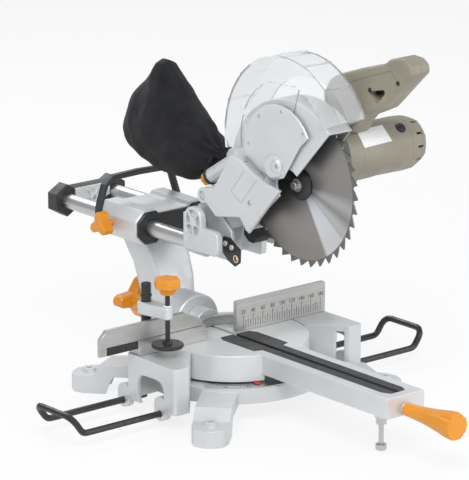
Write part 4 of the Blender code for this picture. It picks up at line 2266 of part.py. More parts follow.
def arbor_bolt():
    """Flanged bolt with a hex socket, screwed into the spindle's end."""
    seat = -BLADE_THICKNESS / 2 - FIT - FLANGE_THICKNESS - FIT
    head = seat - BOLT_WASHER_THICKNESS
    shape = turned(
        (
            (0, head - BOLT_HEAD_LENGTH),
            (BOLT_HEAD_RADIUS * BOLT_EDGE_SHARE, head - BOLT_HEAD_LENGTH),
            (BOLT_HEAD_RADIUS, head - BOLT_HEAD_LENGTH * BOLT_EDGE_SHARE),
            (BOLT_HEAD_RADIUS, head),
            (BOLT_WASHER_RADIUS, head),
            (BOLT_WASHER_RADIUS, seat),
            (ARBOR_BOLT_RADIUS, seat),
            (ARBOR_BOLT_RADIUS, BLADE_THICKNESS / 2 + FLANGE_THICKNESS * 2),
            (0, BLADE_THICKNESS / 2 + FLANGE_THICKNESS * 2),
        ),
        "X",
        ARBOR,
        COARSE,
    )
    socket = rod(
        "X",
        ARBOR,
        BOLT_SOCKET_RADIUS,
        head - BOLT_HEAD_LENGTH - OVERRUN,
        head - BOLT_HEAD_LENGTH * BOLT_SOCKET_SHARE,
        6,
    )
    return carved(shape, cut=[socket])


def motor_housing():
    """Motor shell: round at the gear case, eased to a rounded octagon at its outer end."""
    front = GEAR_CASE_X + FIT
    levels = (
        (front, MOTOR_RADIUS, 0),
        (front + MOTOR_NECK, MOTOR_RADIUS, 0),
        (front + MOTOR_NECK * MOTOR_STEP_SHARES[0], MOTOR_RADIUS * MOTOR_STEP_SHARES[1], 0),
        (MOTOR_SPLIT_X, MOTOR_END_RADIUS, 1),
    )
    outer = [[lifted(p, "X", x) for p in motor_ring(r, flat)] for x, r, flat in levels]
    shell = loft(outer)
    room = turned(
        (
            (0, front + MOTOR_WALL),
            (MOTOR_BORE_RADIUS, front + MOTOR_WALL),
            (MOTOR_BORE_RADIUS, MOTOR_SPLIT_X + OVERRUN),
            (0, MOTOR_SPLIT_X + OVERRUN),
        ),
        "X",
        MOTOR,
        MEDIUM,
    )
    shaft = rod("X", MOTOR, ARMATURE_SHAFT_RADIUS + RUNNING, front - OVERRUN, front + MOTOR_WALL + OVERRUN, SMALL)
    brushes = [
        about_motor(
            rod(
                "Y",
                (BRUSH_X, MOTOR[1]),
                BRUSH_RADIUS + FIT,
                MOTOR[0] + side * MOTOR_BORE_RADIUS / 2,
                MOTOR[0] + side * MOTOR_RADIUS * MOTOR_REACH_SHARE,
                COARSE,
            )
        )
        for side in (-1, 1)
    ]
    shape = carved(shell, cut=[room, shaft])
    return carved(shape, cut=brushes)


def motor_ring(radius, flat, steps=24):
    """A circle, or with flat near 1 an octagon with rounded corners of the same width."""
    points = []
    for i in range(steps):
        turn = math.tau * (i + 1 / 2) / steps
        sector = (turn + math.pi / 8) % (math.pi / 4) - math.pi / 8
        octagon = min(1 / math.cos(sector), MOTOR_CORNER_SHARE)
        reach = radius * (1 + (octagon - 1) * flat)
        points.append((MOTOR[0] + reach * math.cos(turn), MOTOR[1] + reach * math.sin(turn)))
    return points


def motor_end_cap():
    """Domed end cap with a ring of cooling slots."""
    start = MOTOR_SPLIT_X + FIT
    outer = [
        [lifted(p, "X", start + MOTOR_END * along) for p in motor_ring(MOTOR_END_RADIUS * spread, flat)]
        for along, spread, flat in MOTOR_END_SHARES
    ]
    room = turned(
        (
            (0, start - OVERRUN),
            (MOTOR_BORE_RADIUS, start - OVERRUN),
            (MOTOR_BORE_RADIUS, start + MOTOR_END * MOTOR_BEARING_SHARE),
            (MOTOR_BORE_RADIUS * MOTOR_DOME_SHARE, start + MOTOR_END - MOTOR_WALL),
            (0, start + MOTOR_END - MOTOR_WALL),
        ),
        "X",
        MOTOR,
        MEDIUM,
    )
    slot = box(
        (start + MOTOR_END * VENT_SHARES[0], MOTOR[0] + MOTOR_BORE_RADIUS / 2, MOTOR[1] - VENT_WIDTH / 2),
        (
            start + MOTOR_END * VENT_SHARES[1],
            MOTOR[0] + MOTOR_RADIUS * MOTOR_REACH_SHARE,
            MOTOR[1] + VENT_WIDTH / 2,
        ),
    )
    slots = turned_copies(slot, VENT_COUNT, "X", Vector((0, *MOTOR)))
    shape = carved(loft(outer), cut=[room])
    return carved(shape, cut=slots)


def brush_cap(side):
    """Slotted screw cap over a brush."""
    seat = MOTOR[0] + side * BRUSH_SEAT
    outer = MOTOR[0] + side * BRUSH_OUTER
    cap = rod("Y", (BRUSH_X, MOTOR[1]), BRUSH_RADIUS, seat, outer, COARSE, BRUSH_RADIUS / 6)
    low, high = sorted((outer - side * BRUSH_RADIUS / 4, outer + side * OVERRUN))
    slot = box(
        (BRUSH_X - BRUSH_RADIUS * BRUSH_SLOT_SHARE, low, MOTOR[1] - BRUSH_RADIUS / 6),
        (BRUSH_X + BRUSH_RADIUS * BRUSH_SLOT_SHARE, high, MOTOR[1] + BRUSH_RADIUS / 6),
    )
    return about_motor(carved(cap, cut=[slot]))


def about_motor(mesh):
    """The mesh turned about the motor's axis to the brushes' angle."""
    centre = Vector((0, *MOTOR))
    spin = Matrix.Rotation(math.radians(BRUSH_ANGLE), 4, "X")
    return moved(mesh, Matrix.Translation(centre) @ spin @ Matrix.Translation(-centre))


def field_core():
    """Laminated ring of the motor's field, seated in the shell."""
    return tube(
        "X",
        MOTOR,
        MOTOR_BORE_RADIUS - FIT,
        ARMATURE_RADIUS + RUNNING,
        GEAR_CASE_X + MOTOR_WALL + FIELD_START,
        GEAR_CASE_X + MOTOR_WALL + FIELD_START + FIELD_LENGTH,
    )


def armature():
    """Armature with its shaft, fan, windings, commutator and the pinion cut on its end."""
    pinion_x = GUARD_RIGHT_X + GEAR_WEB + RUNNING
    core_x = GEAR_CASE_X + MOTOR_WALL + FIELD_START
    shaft = ARMATURE_SHAFT_RADIUS
    fan_x = GEAR_CASE_X + MOTOR_WALL + FIELD_START / 4
    end = MOTOR_SPLIT_X + MOTOR_END * MOTOR_BEARING_SHARE
    body = turned(
        (
            (0, pinion_x + GEAR_WIDTH / 2),
            (shaft, pinion_x + GEAR_WIDTH / 2),
            (shaft, fan_x),
            (ARMATURE_FAN_RADIUS, fan_x),
            (ARMATURE_FAN_RADIUS, fan_x + FIELD_START * FAN_SHARE),
            (shaft * ARMATURE_NECK_SHARE, fan_x + FIELD_START / 2),
            (shaft * ARMATURE_NECK_SHARE, core_x),
            (ARMATURE_RADIUS, core_x),
            (ARMATURE_RADIUS, core_x + FIELD_LENGTH),
            (COMMUTATOR_RADIUS * COMMUTATOR_RISER_SHARE, core_x + FIELD_LENGTH + FIELD_START * FAN_SHARE),
            (COMMUTATOR_RADIUS, core_x + FIELD_LENGTH + FIELD_START / 2),
            (COMMUTATOR_RADIUS, core_x + FIELD_LENGTH + FIELD_START * COMMUTATOR_END_SHARE),
            (shaft, core_x + FIELD_LENGTH + FIELD_START * COMMUTATOR_END_SHARE),
            (shaft, end),
            (0, end),
        ),
        "X",
        MOTOR,
        COARSE,
    )
    heading = math.degrees(math.atan2(-MOTOR_OFFSET_Z, -MOTOR_OFFSET_Y))
    phase = pinion_phase(heading)
    pinion = prism(
        gear_outline(MOTOR, PINION_TEETH, gear_module(), phase), "X", pinion_x, pinion_x + GEAR_WIDTH
    )
    return carved(body, add=[pinion])


def pinion_phase(heading):
    """Turns the pinion so that one of its gaps meets the spindle gear's tooth on their centre line."""
    toward_motor = heading - 180
    pitch = 360 / SPINDLE_TEETH
    offset = (toward_motor % pitch) / pitch
    return heading + (1 / 2 + offset) * 360 / PINION_TEETH


def handle_outline():
    seat = arc(MOTOR, MOTOR_RADIUS + HANDLE_SEAT_GAP, HANDLE_SEAT_START, HANDLE_SEAT_END, 8)
    loop = placed(HANDLE_SHARES, MOTOR, HANDLE_REACH, HANDLE_REACH)
    return rounded(seat + loop, HANDLE_CORNER, 2)


def handle_opening():
    return rounded(placed(HANDLE_OPENING_SHARES, MOTOR, HANDLE_REACH, HANDLE_REACH), HANDLE_CORNER / 2, 3)


def handle_shell(side):
    """One half of the loop handle: thick in the middle, chamfered at its outer face, hollow inside."""
    middle = HANDLE_X
    split = middle + side * FIT / 2
    outer = middle + side * HANDLE_HALF_WIDTH
    outline = anticlockwise(handle_outline())
    opening = anticlockwise(handle_opening())
    rounding = HANDLE_HALF_WIDTH * HANDLE_ROUND_SHARE
    rings = [
        (split, outline),
        (outer - side * rounding, outline),
        (outer - side * rounding * HANDLE_EDGE_SHARE, shrunk(outline, rounding * HANDLE_EDGE_SHARE)),
        (outer, shrunk(outline, rounding * HANDLE_FACE_SHARE)),
    ]
    shape = loft([[lifted(p, "X", x) for p in ring] for x, ring in rings])
    hole = prism(opening, "X", split - side * OVERRUN, outer + side * OVERRUN)
    switch_room = prism(
        placed(TRIGGER_ROOM_SHARES, MOTOR, HANDLE_REACH, HANDLE_REACH),
        "X",
        split - side * OVERRUN,
        middle + side * TRIGGER_ROOM_HALF,
    )
    return carved(shape, cut=[hole, switch_room])


def trigger():
    """Finger trigger in the top of the handle's loop, with its hinge end inside the grip."""
    outline = rounded(placed(TRIGGER_SHARES, MOTOR, HANDLE_REACH, HANDLE_REACH), HANDLE_CORNER / 5, 2)
    half = TRIGGER_ROOM_HALF - TRIGGER_SIDE_GAP
    return prism(outline, "X", HANDLE_X - half, HANDLE_X + half, half / 6)


def depth_collar():
    """Black washer between the depth stop's boss and its knob."""
    outer = rod_along(FIT, DEPTH_COLLAR_LENGTH, DEPTH_COLLAR_RADIUS)
    bore = rod_along(-OVERRUN, DEPTH_COLLAR_LENGTH + OVERRUN, DEPTH_SCREW_RADIUS + FIT, SMALL)
    return carved(outer, cut=[bore])


def depth_screw():
    return rod_along(-DEPTH_SCREW_SUNK, DEPTH_SCREW_LENGTH - DEPTH_SCREW_SUNK, DEPTH_SCREW_RADIUS, SMALL)


def depth_knob():
    """Small lobed knob on the outer end of the depth-stop screw."""
    end = DEPTH_SCREW_LENGTH - DEPTH_SCREW_SUNK
    start = end - DEPTH_KNOB_LENGTH * DEPTH_KNOB_ROOT_SHARE
    face = side_place(DEPTH_X, DEPTH_BOSS_END_SHARES)
    ahead = depth_direction()
    side = Vector((1, 0, 0))
    up = ahead.cross(side)
    rings = []
    for spread, along in DEPTH_KNOB_SHARES:
        outline = lobed((0, 0), DEPTH_KNOB_RADIUS * spread, DEPTH_KNOB_RADIUS / 6, 6, 4)
        place = face + ahead * (start + DEPTH_KNOB_LENGTH * along)
        rings.append([place + side * u + up * v for u, v in outline])
    bore = rod_along(start - OVERRUN, end + FIT, DEPTH_SCREW_RADIUS + FIT, SMALL)
    return carved(loft(rings), cut=[bore])


def dust_bag():
    """Filled bag: a flattened pouch that widens from the neck and stands up at its far end."""
    neck = side_place(NECK_X, NECK_END_SHARES)
    ahead = (neck - side_place(NECK_X, NECK_ROOT_SHARES)).normalized()
    mouth = neck + ahead * FIT
    slope = math.degrees(math.atan2(ahead.z, ahead.y))
    rings = [bag_ring(mouth, NECK_RADIUS, NECK_RADIUS, slope)]
    for along, rise, half_width, half_height, lean in BAG_SHARES:
        centre = Vector((BAG_X, mouth.y + BAG_LENGTH * along, PIVOT[1] + BAG_HEIGHT * rise))
        rings.append(bag_ring(centre, BAG_HALF_WIDTH * half_width, BAG_HEIGHT * half_height, lean))
    return loft(rings)


def bag_ring(centre, half_width, half_height, lean):
    """A full oval section of the bag, leaning back by an angle."""
    tilt = math.radians(lean)
    ring = []
    for i in range(BAG_SIDES):
        turn = math.tau * i / BAG_SIDES
        across, up = math.cos(turn), math.sin(turn)
        u = half_width * math.copysign(abs(across) ** BAG_SIDE_SHARE, across)
        v = half_height * math.copysign(abs(up) ** BAG_TOP_SHARE, up)
        ring.append(centre + Vector((u, -v * math.sin(tilt), v * math.cos(tilt))))
    return ring


def dust_flap():
    """Rubber flap that hangs behind the blade below the arm."""
    outline = rounded(placed(FLAP_SHARES, PIVOT, ARM_REACH, ARM_REACH), FLAP_CORNER, 2)
    return prism(outline, "X", -FLAP_HALF, FLAP_HALF, FLAP_CORNER / 5)


# The whole saw.


def build_base(root):
    piece("base_casting", base_casting(), "cast_silver", root)
    piece("mitre_scale_plate", scale_plate(), "steel", root)
    piece("fence_casting", fence_casting(), "fence_steel", root)
    piece("turntable_pivot_bolt", pivot_bolt(), "steel", root)
    slide = joint("fence_slide", at(FENCE_LEFT_X, FENCE_THICKNESS / 2, FENCE_LEFT_RISE), root)
    piece("sliding_fence", sliding_fence(), "fence_steel", slide)
    piece("fence_guide_bar", slide_bar(), "black_metal", slide)
    for name, side in (("left", -1), ("right", 1)):
        wire = joint(f"wire_slide_{name}", at(side * BLOCK_OUTER_X, WIRE_FRONT_Y, -WIRE_DROP), root)
        piece(f"extension_wire_{name}", extension_wire(side), "black_metal", wire)
    post = joint("clamp_lift", at(CLAMP_X, CLAMP_Y, 0), root)
    piece("clamp_post", clamp_post(), "black_metal", post)
    swing = joint("clamp_swing", at(CLAMP_X, CLAMP_Y, CLAMP_ARM_LOW), post)
    piece("clamp_arm", clamp_arm(), "cast_silver", swing)
    piece("clamp_bush", clamp_bush(), "white_plastic", swing)
    feed = joint("clamp_feed", at(CLAMP_SCREW_X, CLAMP_SCREW_Y, CLAMP_PAD_LOW), swing)
    piece("clamp_screw", clamp_screw(), "black_metal", feed)
    piece("clamp_pad", clamp_pad(), "black_metal", feed)
    piece("clamp_knob", clamp_knob(), "orange_plastic", feed)


def build_turntable(root):
    mitre = joint("mitre_axis", at(0, 0, 0), root)
    piece("turntable", turntable(), "table_silver", mitre)
    piece("kerf_insert_right", insert_half(), "grey_plastic", mitre)
    piece("kerf_insert_left", mirrored(insert_half()), "grey_plastic", mitre)
    piece("mitre_pointer", pointer(), "red_plastic", mitre)
    piece("bevel_shaft", bevel_shaft(), "steel", mitre)
    piece("levelling_nut", levelling_nut(), "steel", mitre)
    level = joint("level_feed", at(0, LEVEL_Y, -LEVEL_BOSS_DROP), mitre)
    piece("levelling_screw", levelling_screw(), "black_metal", level)
    lock = joint("mitre_lock_turn", at(0, LOCK_HANDLE_ROOT_Y, -LOCK_ROD_DROP), mitre)
    piece("mitre_lock_rod", mitre_lock_rod(), "steel", lock)
    piece("mitre_lock_handle", mitre_lock_handle(), "orange_plastic", lock)
    bevel_lock = joint("bevel_lock_turn", at(0, BEVEL_LEVER_FRONT_Y, 0), mitre)
    piece("bevel_lock_handle", bevel_lock_handle(), "orange_plastic", bevel_lock)
    return mitre


def build_column(mitre):
    bevel = joint("bevel_axis", at(0, BEVEL_BOSS_BACK_Y, 0), mitre)
    piece("column", column(), "cast_silver", bevel)
    piece("housing_front_cover", front_cover(), "black_plastic", bevel)
    for name, side in (("left", -1), ("right", 1)):
        piece(f"rail_bush_{name}", rail_bush(side), "white_plastic", bevel)
    piece("carry_handle", carry_handle(), "grey_plastic", bevel)
    lock = joint("rail_lock_turn", at(-HOUSING_OUTER_X, RAIL_LOCK_Y, RAIL_RISE), bevel)
    piece("rail_lock_knob", rail_lock_knob(), "orange_plastic", lock)
    return bevel


def build_carriage(bevel):
    carriage = joint("rail_slide", at(0, 0, RAIL_RISE), bevel)
    for name, side in (("left", -1), ("right", 1)):
        piece(f"rail_{name}", rail(side), "steel", carriage)
    piece("rail_end_cap", rail_end_cap(), "black_plastic", carriage)
    piece("rail_bracket", rail_bracket(), "cast_silver", carriage)
    piece("hinge_casting", hinge_casting(), "cast_silver", carriage)
    piece("hinge_pin", hinge_pin(), "steel", carriage)
    piece("return_spring", return_spring(), "steel", carriage)
    piece("stop_bracket", stop_bracket(), "black_metal", carriage)
    return carriage


def build_head(carriage):
    head = joint("head_hinge", at(0, HEAD_PIVOT_Y, HEAD_PIVOT_RISE), carriage)
    piece("upper_guard", upper_guard(), "cast_silver", head)
    piece("guard_side_cover", side_cover(), "cast_silver", head)
    piece("motor_housing", motor_housing(), "olive_plastic", head)
    piece("motor_end_cap", motor_end_cap(), "olive_plastic", head)
    piece("brush_cap_front", brush_cap(-1), "black_plastic", head)
    piece("brush_cap_rear", brush_cap(1), "black_plastic", head)
    piece("field_core", field_core(), "steel", head)
    piece("handle_shell_left", handle_shell(-1), "olive_plastic", head)
    piece("handle_shell_right", handle_shell(1), "olive_plastic", head)
    piece("depth_stop_collar", depth_collar(), "rubber", head)
    piece("dust_bag", dust_bag(), "cloth", head)
    piece("dust_flap", dust_flap(), "rubber", head)
    stop = joint("depth_stop_turn", side_place(DEPTH_X, DEPTH_BOSS_END_SHARES), head)
    piece("depth_stop_screw", depth_screw(), "steel", stop)
    piece("depth_stop_knob", depth_knob(), "orange_plastic", stop)
    squeeze = joint("trigger_squeeze", Vector((HANDLE_X, *trigger_middle())), head)
    piece("trigger", trigger(), "black_plastic", squeeze)
    guard = joint("guard_swing", Vector((-CLEAR_LEFT_X, *GUARD_PIVOT)), head)
    piece("lower_guard", lower_guard(), "clear_plastic", guard)
    spin = joint("arbor_spin", Vector((0, *ARBOR)), head)
    piece("saw_blade", saw_blade(), "blade_steel", spin)
    piece("spindle", spindle(), "steel", spin)
    piece("outer_flange", outer_flange(), "black_metal", spin)
    piece("arbor_bolt", arbor_bolt(), "steel", spin)
    motor = joint("armature_spin", Vector((0, *MOTOR)), head)
    piece("armature", armature(), "copper", motor)


def trigger_middle():
    corners = placed(TRIGGER_SHARES, MOTOR, HANDLE_REACH, HANDLE_REACH)
    return tuple(sum(values) / len(corners) for values in zip(*corners))


def main():
    for obj in list(bpy.data.objects):
        bpy.data.objects.remove(obj)
    root = joint("saw", Vector((0, 0, 0)))
    build_base(root)
    mitre = build_turntable(root)
    bevel = build_column(mitre)
    carriage = build_carriage(bevel)
    build_head(carriage)


main()
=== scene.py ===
"""Looks, marks, cloth bag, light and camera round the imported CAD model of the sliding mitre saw."""

import json
import math

import bmesh
import bpy
import numpy as np
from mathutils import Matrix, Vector, noise
from mathutils.bvhtree import BVHTree


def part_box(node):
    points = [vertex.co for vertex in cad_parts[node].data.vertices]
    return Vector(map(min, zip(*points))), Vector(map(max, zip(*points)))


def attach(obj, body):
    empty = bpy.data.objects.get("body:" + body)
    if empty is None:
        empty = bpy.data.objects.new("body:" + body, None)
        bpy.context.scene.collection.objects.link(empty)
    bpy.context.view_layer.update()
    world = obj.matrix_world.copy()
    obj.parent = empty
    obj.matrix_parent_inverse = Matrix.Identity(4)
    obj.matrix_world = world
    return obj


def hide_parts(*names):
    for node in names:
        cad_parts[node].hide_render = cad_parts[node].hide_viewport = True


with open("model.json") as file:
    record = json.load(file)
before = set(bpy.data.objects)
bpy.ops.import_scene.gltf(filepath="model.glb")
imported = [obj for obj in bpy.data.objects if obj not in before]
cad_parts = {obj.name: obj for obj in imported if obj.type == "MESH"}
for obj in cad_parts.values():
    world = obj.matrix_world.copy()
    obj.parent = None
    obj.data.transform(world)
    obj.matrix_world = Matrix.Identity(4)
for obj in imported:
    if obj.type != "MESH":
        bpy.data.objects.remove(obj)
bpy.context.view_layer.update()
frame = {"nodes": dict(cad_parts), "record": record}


# Camera, fitted to the ruler, the fence, the rails, the blade's rim and the arm.

PICTURE_WIDTH = 469
PICTURE_HEIGHT = 480
FOCAL_PIXELS = 3307
SENSOR_WIDTH = 36
CAMERA_TARGET = Vector((0.002, 0, 0.2513))
CAMERA_DISTANCE = 5.128
CAMERA_AZIMUTH = -39.82
CAMERA_ELEVATION = 15.54
CAMERA_REACH = 60


def make_camera():
    """A camera where the photographer's stood, with the photograph's frame."""
    azimuth = math.radians(CAMERA_AZIMUTH)
    elevation = math.radians(CAMERA_ELEVATION)
    away = Vector(
        (
            math.cos(elevation) * math.sin(azimuth),
            -math.cos(elevation) * math.cos(azimuth),
            math.sin(elevation),
        )
    )
    data = bpy.data.cameras.new("camera")
    data.sensor_fit = "HORIZONTAL"
    data.sensor_width = SENSOR_WIDTH
    data.lens = FOCAL_PIXELS * SENSOR_WIDTH / PICTURE_WIDTH
    data.clip_end = CAMERA_REACH
    camera = bpy.data.objects.new("camera", data)
    bpy.context.scene.collection.objects.link(camera)
    camera.location = CAMERA_TARGET + away * CAMERA_DISTANCE
    camera.rotation_euler = away.to_track_quat("Z", "Y").to_euler()
    bpy.context.scene.camera = camera
    bpy.context.view_layer.update()
    return camera


camera = make_camera()


# Materials. Every one reads the part's own coordinates, in metres.

MIX_FACTOR = 0
MIX_FIRST_COLOUR = 6
MIX_SECOND_COLOUR = 7
MIX_RESULT = 2
SOFT_SAMPLES = 6
WEAR_SAMPLES = 4
WEAR_RADIUS = 0.0016
WEAR_SHARP = 0.8
WEAR_FLAT = 0.99


class Look:
    """A Principled material with its own node tree."""

    def __init__(self, name, colour, roughness, metallic=0.0):
        self.material = bpy.data.materials.new(name)
        self.material.use_nodes = True
        self.nodes = self.material.node_tree.nodes
        self.links = self.material.node_tree.links
        self.nodes.clear()
        output = self.add("ShaderNodeOutputMaterial")
        self.shader = self.add("ShaderNodeBsdfPrincipled")
        self.links.new(self.shader.outputs[0], output.inputs[0])
        self.place = self.add("ShaderNodeTexCoord").outputs["Object"]
        self.own("Base Color", (*colour, 1))
        self.own("Roughness", roughness)
        self.own("Metallic", metallic)
        self.normal = None

    def add(self, kind, **settings):
        """A new node with its settings."""
        node = self.nodes.new(kind)
        for key, value in settings.items():
            setattr(node, key, value)
        return node

    def own(self, socket, value):
        """Sets a value of the surface."""
        self.shader.inputs[socket].default_value = value

    def into(self, socket, source):
        """Leads a node's output into the surface."""
        self.links.new(source, self.shader.inputs[socket])

    def mapped(self, stretch, shift=(0, 0, 0)):
        """The part's coordinates, stretched and shifted."""
        node = self.add("ShaderNodeMapping")
        node.inputs["Scale"].default_value = stretch
        node.inputs["Location"].default_value = shift
        self.links.new(self.place, node.inputs["Vector"])
        return node.outputs[0]

    def noise(self, scale, detail=2.0, roughness=0.5, vector=None):
        """Noise of so many cells to the metre."""
        node = self.add("ShaderNodeTexNoise")
        node.inputs["Scale"].default_value = scale
        node.inputs["Detail"].default_value = detail
        node.inputs["Roughness"].default_value = roughness
        self.links.new(vector or self.place, node.inputs["Vector"])
        return node.outputs["Fac"]

    def math(self, operation, *values):
        """A sum on numbers and other nodes' outputs."""
        node = self.add("ShaderNodeMath", operation=operation)
        for socket, value in zip(node.inputs, values):
            if isinstance(value, (int, float)):
                socket.default_value = value
            else:
                self.links.new(value, socket)
        return node.outputs[0]

    def spread(self, value, low, high, start=0.3, end=0.7):
        """A value between start and end, as one between low and high."""
        node = self.add("ShaderNodeMapRange")
        self.links.new(value, node.inputs["Value"])
        node.inputs["From Min"].default_value = start
        node.inputs["From Max"].default_value = end
        node.inputs["To Min"].default_value = low
        node.inputs["To Max"].default_value = high
        return node.outputs["Result"]

    def blend(self, factor, first, second):
        """A colour between two, each a colour or another node's output."""
        node = self.add("ShaderNodeMix", data_type="RGBA")
        self.links.new(factor, node.inputs[MIX_FACTOR])
        for index, value in ((MIX_FIRST_COLOUR, first), (MIX_SECOND_COLOUR, second)):
            if isinstance(value, tuple):
                node.inputs[index].default_value = (*value, 1)
            else:
                self.links.new(value, node.inputs[index])
        return node.outputs[MIX_RESULT]

    def roughened(self, source, roughness, less, more):
        """Roughness that follows a value, from a little less to a little more."""
        self.into("Roughness", self.spread(source, roughness - less, roughness + more))

    def bump(self, height, distance, strength):
        """Fine relief, on top of any before it."""
        node = self.add("ShaderNodeBump")
        node.inputs["Strength"].default_value = strength
        node.inputs["Distance"].default_value = distance
        self.links.new(height, node.inputs["Height"])
        if self.normal is not None:
            self.links.new(self.normal, node.inputs["Normal"])
        self.normal = node.outputs["Normal"]
        self.into("Normal", self.normal)

    def softened(self, radius):
        """Rounds the look of sharp edges, as on a casting or a moulding."""
        node = self.add("ShaderNodeBevel", samples=SOFT_SAMPLES)
        node.inputs["Radius"].default_value = radius
        self.normal = node.outputs["Normal"]
        self.into("Normal", self.normal)

    def edges(self, radius=WEAR_RADIUS):
        """1 along worn edges, 0 on the faces."""
        bevel = self.add("ShaderNodeBevel", samples=WEAR_SAMPLES)
        bevel.inputs["Radius"].default_value = radius
        true = self.add("ShaderNodeNewGeometry").outputs["Normal"]
        node = self.add("ShaderNodeVectorMath", operation="DOT_PRODUCT")
        self.links.new(bevel.outputs["Normal"], node.inputs[0])
        self.links.new(true, node.inputs[1])
        return self.spread(node.outputs["Value"], 1, 0, WEAR_SHARP, WEAR_FLAT)


def scaled(colour, factor):
    """A lighter or darker colour."""
    return tuple(channel * factor for channel in colour)


CAST_METALLIC = 0.35
CAST_CORNER = 0.0014
CAST_CLOUD_SCALE = 11
CAST_DARK = 0.9
CAST_LIGHT = 1.06
CAST_FLAKE_SCALE = 1400
CAST_FLAKE_SHARE = 0.5
CAST_FLAKE_TONE = 1.12
CAST_WEAR_TONE = 1.3
CAST_PATCH_SCALE = 45
CAST_PEEL_SCALE = 620
CAST_PEEL_DEPTH = 0.00018
CAST_COAT = 0.12
CAST_COAT_ROUGHNESS = 0.25


def cast_look(name, colour, roughness=0.42):
    """Silver paint over a casting: fine orange peel, cloudy tone, edges that shine through."""
    look = Look(name, colour, roughness, CAST_METALLIC)
    look.softened(CAST_CORNER)
    cloud = look.spread(look.noise(CAST_CLOUD_SCALE, detail=4), 0, 1)
    tone = look.blend(cloud, scaled(colour, CAST_DARK), scaled(colour, CAST_LIGHT))
    flake = look.spread(look.noise(CAST_FLAKE_SCALE, detail=1), 0, CAST_FLAKE_SHARE)
    tone = look.blend(flake, tone, scaled(colour, CAST_FLAKE_TONE))
    tone = look.blend(look.edges(), tone, scaled(colour, CAST_WEAR_TONE))
    look.into("Base Color", tone)
    look.roughened(look.noise(CAST_PATCH_SCALE, detail=3), roughness, less=0.06, more=0.08)
    look.bump(look.noise(CAST_PEEL_SCALE, detail=3), CAST_PEEL_DEPTH, strength=0.5)
    look.own("Coat Weight", CAST_COAT)
    look.own("Coat Roughness", CAST_COAT_ROUGHNESS)
    return look.material


STREAK_VARY = 0.16
STREAK_DEPTH = 0.00005
STAIN_SCALE = 30
STAIN_SHARE = 0.25
STAIN_TONE = 0.8


def brushed_look(name, colour, stretch, roughness, metallic=1.0):
    """Bare metal with fine streaks along one direction."""
    look = Look(name, colour, roughness, metallic)
    streaks = look.noise(1, detail=3, roughness=0.6, vector=look.mapped(stretch))
    dark, light = scaled(colour, 1 - STREAK_VARY), scaled(colour, 1 + STREAK_VARY)
    tone = look.blend(look.spread(streaks, 0, 1), dark, light)
    stain = look.spread(look.noise(STAIN_SCALE, detail=4), 0, STAIN_SHARE)
    look.into("Base Color", look.blend(stain, tone, scaled(colour, STAIN_TONE)))
    look.roughened(streaks, roughness, less=0.08, more=0.1)
    look.bump(streaks, STREAK_DEPTH, strength=0.6)
    return look.material


MOULD_CORNER = 0.0009
MOULD_CLOUD_SCALE = 18
MOULD_WEAR_RADIUS = 0.0012
MOULD_PATCH_SCALE = 70
MOULD_GRAIN_SCALE = 1500
MOULD_GRAIN_DEPTH = 0.00010


def moulded_look(
    name,
    colour,
    roughness,
    grain=MOULD_GRAIN_SCALE,
    depth=MOULD_GRAIN_DEPTH,
    vary=0.10,
    corner=MOULD_CORNER,
    wear=1.25,
):
    """Moulded plastic with a fine spark-eroded grain and lighter, rubbed edges."""
    look = Look(name, colour, roughness)
    look.softened(corner)
    cloud = look.spread(look.noise(MOULD_CLOUD_SCALE, detail=4), 0, 1)
    tone = look.blend(cloud, scaled(colour, 1 - vary), scaled(colour, 1 + vary))
    tone = look.blend(look.edges(MOULD_WEAR_RADIUS), tone, scaled(colour, wear))
    look.into("Base Color", tone)
    look.roughened(look.noise(MOULD_PATCH_SCALE, detail=3), roughness, less=0.07, more=0.09)
    look.bump(look.noise(grain, detail=2), depth, strength=0.7)
    return look.material


PAINT_CORNER = 0.0006
PAINT_PATCH_SCALE = 90
PAINT_RUB_SCALE = 60
PAINT_RUB_SHARE = 0.5
PAINT_RUB_TONE = 2.2
PAINT_NIB_SCALE = 700
PAINT_NIB_DEPTH = 0.00012


def painted_look(name, colour, roughness):
    """Black stoved paint on steel, with small nibs and rubbed spots."""
    look = Look(name, colour, roughness)
    look.softened(PAINT_CORNER)
    look.roughened(look.noise(PAINT_PATCH_SCALE, detail=3), roughness, less=0.08, more=0.12)
    spots = look.noise(PAINT_RUB_SCALE, detail=5, roughness=0.7)
    rub = look.spread(spots, 0, PAINT_RUB_SHARE, start=0.62, end=0.75)
    look.into("Base Color", look.blend(rub, colour, scaled(colour, PAINT_RUB_TONE)))
    look.bump(look.noise(PAINT_NIB_SCALE, detail=2), PAINT_NIB_DEPTH, strength=0.5)
    return look.material


# The blade: a ground disc with an unground ring of teeth, with painted highlight on the disc: wedges
# of painted sheen, lighter colour in its base colour. Each wedge of painted sheen has its middle, the
# half angles at which it begins and ends to fade, and its strength.

DISC_ROUGHNESS = 0.34
# The colour of the painted highlight, then the wedges of painted sheen.
DISC_PAINTED_HIGHLIGHT = (0.86, 0.90, 0.95)
DISC_EDGE = 0.1165
DISC_EDGE_FADE = 0.0008
DISC_PAINTED_SHEEN = (
    (-2.33, 0.19, 0.25, 0.85),
    (-2.62, 0.04, 0.20, 0.55),
    (-2.98, 0.03, 0.18, 0.40),
    (0.81, 0.19, 0.25, 0.6),
    (0.16, 0.03, 0.18, 0.3),
)
DISC_PAINTED_SHEEN_SHARE = 0.8
DISC_RING_SCALE = 2200
DISC_RING_DEPTH = 0.00004
DISC_DARK = 0.88
DISC_LIGHT = 1.1
DISC_TEETH_TONE = 0.62
DISC_ANISOTROPY = 0.75


